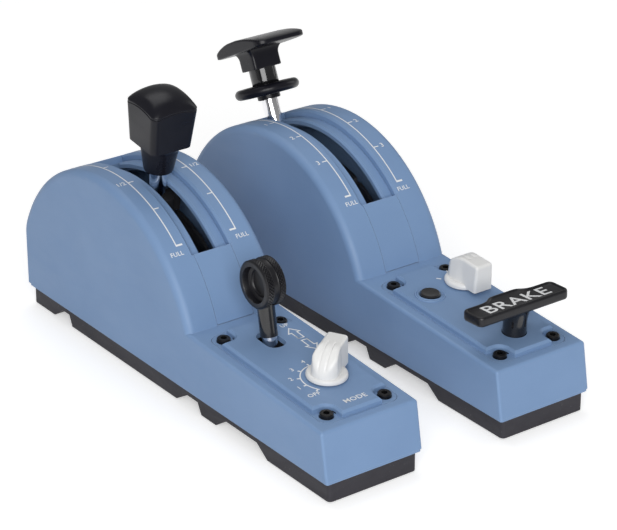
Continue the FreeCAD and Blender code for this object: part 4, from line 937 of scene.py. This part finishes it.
def parkOutline(inset):
    # a bar with round corners; its rear edge swells by the bulge over one plus the distance's eighth power
    look = parkLook
    a, b, r = look["span"] / 2, look["depth"] / 2, look["end"]
    turn = np.linspace(0, math.pi / 2, 8)
    ends = [(a - r, r - b, -1), (a - r, b - r, 0), (r - a, b - r, 1), (r - a, r - b, 2)]
    front = np.stack([np.linspace(r - a, a - r, 40)[1:-1], np.full(38, -b)], axis=1)
    xs = np.linspace(a - r, r - a, 90)[1:-1]
    swell = look["bulge"] / (1 + np.abs(xs / look["bulgeHalf"]) ** look["bulgePower"])
    rear = np.stack([xs, b + swell], axis=1)
    corners = []
    for x, y, quarter in ends:
        t = turn + quarter * math.pi / 2
        corners.append(np.stack([x + r * np.cos(t), y + r * np.sin(t)], axis=1))
    line = np.concatenate([front, corners[0], corners[1], rear, corners[2], corners[3]])
    ahead = np.roll(line, -1, axis=0) - np.roll(line, 1, axis=0)
    normal = np.stack([ahead[:, 1], -ahead[:, 0]], axis=1)
    normal /= np.linalg.norm(normal, axis=1)[:, None]
    return line - normal * inset


def parkHandle():
    look = parkLook
    top, low = look["top"], look["top"] - look["thick"]
    rim, recess = look["rim"], look["recess"]
    levels = [(low + z, inset) for z, inset in look["overFoot"]]
    levels += [(top - z, inset) for z, inset in look["underTop"]]
    levels += [(top - 0.05, rim - 0.12), (top - 0.2, rim), (top - recess + 0.1, rim + 0.12),
               (top - recess, rim + 0.3)]
    outline = [(parkOutline(inset), z) for z, inset in levels]
    grid = np.stack([np.column_stack([line, np.full(len(line), z)]) for line, z in outline])
    t = -math.radians(look["tilt"])
    lean = arrayOf([[1, 0, 0], [0, math.cos(t), -math.sin(t)], [0, math.sin(t), math.cos(t)]])
    pivot = arrayOf([0, 0, low])

    def leaned(points):
        return (points - pivot) @ lean.T + pivot

    meshPiece("parkPlate", place(leaned(grid), "park"), gripBlack, "park_brake",
              ("right_park_brake_handle",), sharp=50)
    # stem: circles that spread into an oval, by a quarter turn of a sine in height and a cosine in width
    u = np.linspace(0, 1, 16) * math.pi / 2
    spread = 1 - np.cos(u)
    rx, ry = [np.concatenate([np.full(4, look["stem"]), look["stem"] + (wide - look["stem"]) * spread])
              for wide in look["oval"]]
    z = np.concatenate([np.linspace(look["stemLow"], look["stemHigh"], 4),
                        look["spreadFrom"] + (low + look["spreadInto"] - look["spreadFrom"]) * np.sin(u)])
    t = np.linspace(0, 2 * math.pi, 72, endpoint=False)[None, :]
    stem = np.stack([rx[:, None] * np.cos(t), ry[:, None] * np.sin(t), z[:, None] + 0 * t], axis=-1)
    meshPiece("parkStem", place(stem, "park"), glossBlack, "park_brake",
              ("right_park_brake_handle",), sharp=50)
    widen, sunk = arrayOf([look["wordWiden"], 1, 1]), arrayOf([0, 0, top - recess])
    lettering("parkWord", look["word"], look["wordSize"], *look["wordAt"],
              lambda points: place(leaned(points * widen + sunk), "park"), inkBright, "park_brake")


speedbrakeKnob()
flapsWing()
flapsBlock()
flapsSleeve()
releaseRing()
gearWheel()
pointerKnob("selector", "selector", 180 - panelMarks["angles"][0], ("left_selector_knob",))
pointerKnob("trim", "trim", 0.0, ("right_trim_knob",))
parkHandle()
print("handles and knobs built")


# floor, light and camera

floorLook = {"half": 3.0, "colour": (0.86, 0.86, 0.86, 1), "roughness": 0.9, "specular": 0.1, "glow": 0.42}
worldLook = {"onObject": 0.29, "behind": 1.0}
lampLook = {
    "keyLamp": {"spot": (-0.75, -1.05, 0.62), "size": (1.0, 0.8), "power": 15.0},
    "topLamp": {"spot": (0.1, 0.45, 1.2), "size": (0.9, 0.7), "power": 4.0},
    "sideLamp": {"spot": (1.1, -0.1, 0.5), "size": (0.5, 0.6), "power": 1.3},
}
lampTarget = (0, 0, 0.05)
view = {"azimuth": -36.35, "elevation": 25.2, "distance": 0.95745, "pan": 0.0254, "drop": -0.0773,
        "lens": 147.30943, "sensor": 36, "fromAxle": (0.0, -0.156398, -0.0027)}


def makeFloor():
    look = floorLook
    a = look["half"]
    mesh = bpy.data.meshes.new("floor")
    mesh.from_pydata([(-a, -a, 0), (a, -a, 0), (a, a, 0), (-a, a, 0)], [], [(0, 1, 2, 3)])
    floor = bpy.data.objects.new("floor", mesh)
    bpy.context.scene.collection.objects.link(floor)
    material = bpy.data.materials.new("paleFloor")
    material.use_nodes = True
    tree = material.node_tree
    shader = tree.nodes["Principled BSDF"]
    shader.inputs["Base Color"].default_value = look["colour"]
    shader.inputs["Roughness"].default_value = look["roughness"]
    shader.inputs["Specular IOR Level"].default_value = look["specular"]
    rays = tree.nodes.new("ShaderNodeLightPath")
    seen = mathNode(tree, "ADD", rays.outputs["Is Camera Ray"], rays.outputs["Is Glossy Ray"], clamp=True)
    tree.links.new(mathNode(tree, "MULTIPLY", seen, look["glow"]), shader.inputs["Emission Strength"])
    shader.inputs["Emission Color"].default_value = (1, 1, 1, 1)
    mesh.materials.append(material)


def makeWorld():
    # white where the camera sees it, and softer as light on the object
    look = worldLook
    world = bpy.data.worlds.new("studio")
    bpy.context.scene.world = world
    world.use_nodes = True
    tree = world.node_tree
    background = tree.nodes["Background"]
    rays = tree.nodes.new("ShaderNodeLightPath")
    seen = mathNode(tree, "MAXIMUM", rays.outputs["Is Camera Ray"], rays.outputs["Is Transmission Ray"])
    extra = mathNode(tree, "MULTIPLY", seen, look["behind"] - look["onObject"])
    tree.links.new(mathNode(tree, "ADD", extra, look["onObject"]), background.inputs["Strength"])
    background.inputs["Color"].default_value = (1, 1, 1, 1)


def makeLamp(name, look):
    data = bpy.data.lights.new(name, "AREA")
    data.shape = "RECTANGLE"
    data.size, data.size_y = look["size"]
    data.energy = look["power"]
    lamp = bpy.data.objects.new(name, data)
    lamp.location = look["spot"]
    lamp.rotation_euler = (Vector(lampTarget) - Vector(look["spot"])).to_track_quat("-Z", "Y").to_euler()
    bpy.context.scene.collection.objects.link(lamp)


def makeCamera():
    a, e = math.radians(view["azimuth"]), math.radians(view["elevation"])
    back = Vector((math.sin(a) * math.cos(e), -math.cos(a) * math.cos(e), math.sin(e)))
    right = Vector((math.cos(a), math.sin(a), 0))
    up = back.cross(right)
    data = bpy.data.cameras.new("camera")
    data.sensor_width = view["sensor"]
    data.lens = view["lens"]
    data.clip_end = 20
    camera = bpy.data.objects.new("camera", data)
    target = Vector(spots["speedbrake"][0] + arrayOf(view["fromAxle"]))
    spot = target + back * view["distance"] - right * view["pan"] - up * view["drop"]
    camera.matrix_world = Matrix.Translation(spot) @ Matrix((right, up, back)).transposed().to_4x4()
    bpy.context.scene.collection.objects.link(camera)
    bpy.context.scene.camera = camera


makeFloor()
makeWorld()
for lampName, lampSettings in lampLook.items():
    makeLamp(lampName, lampSettings)
makeCamera()
bpy.context.scene.view_settings.view_transform = "Standard"
print("stage ready")
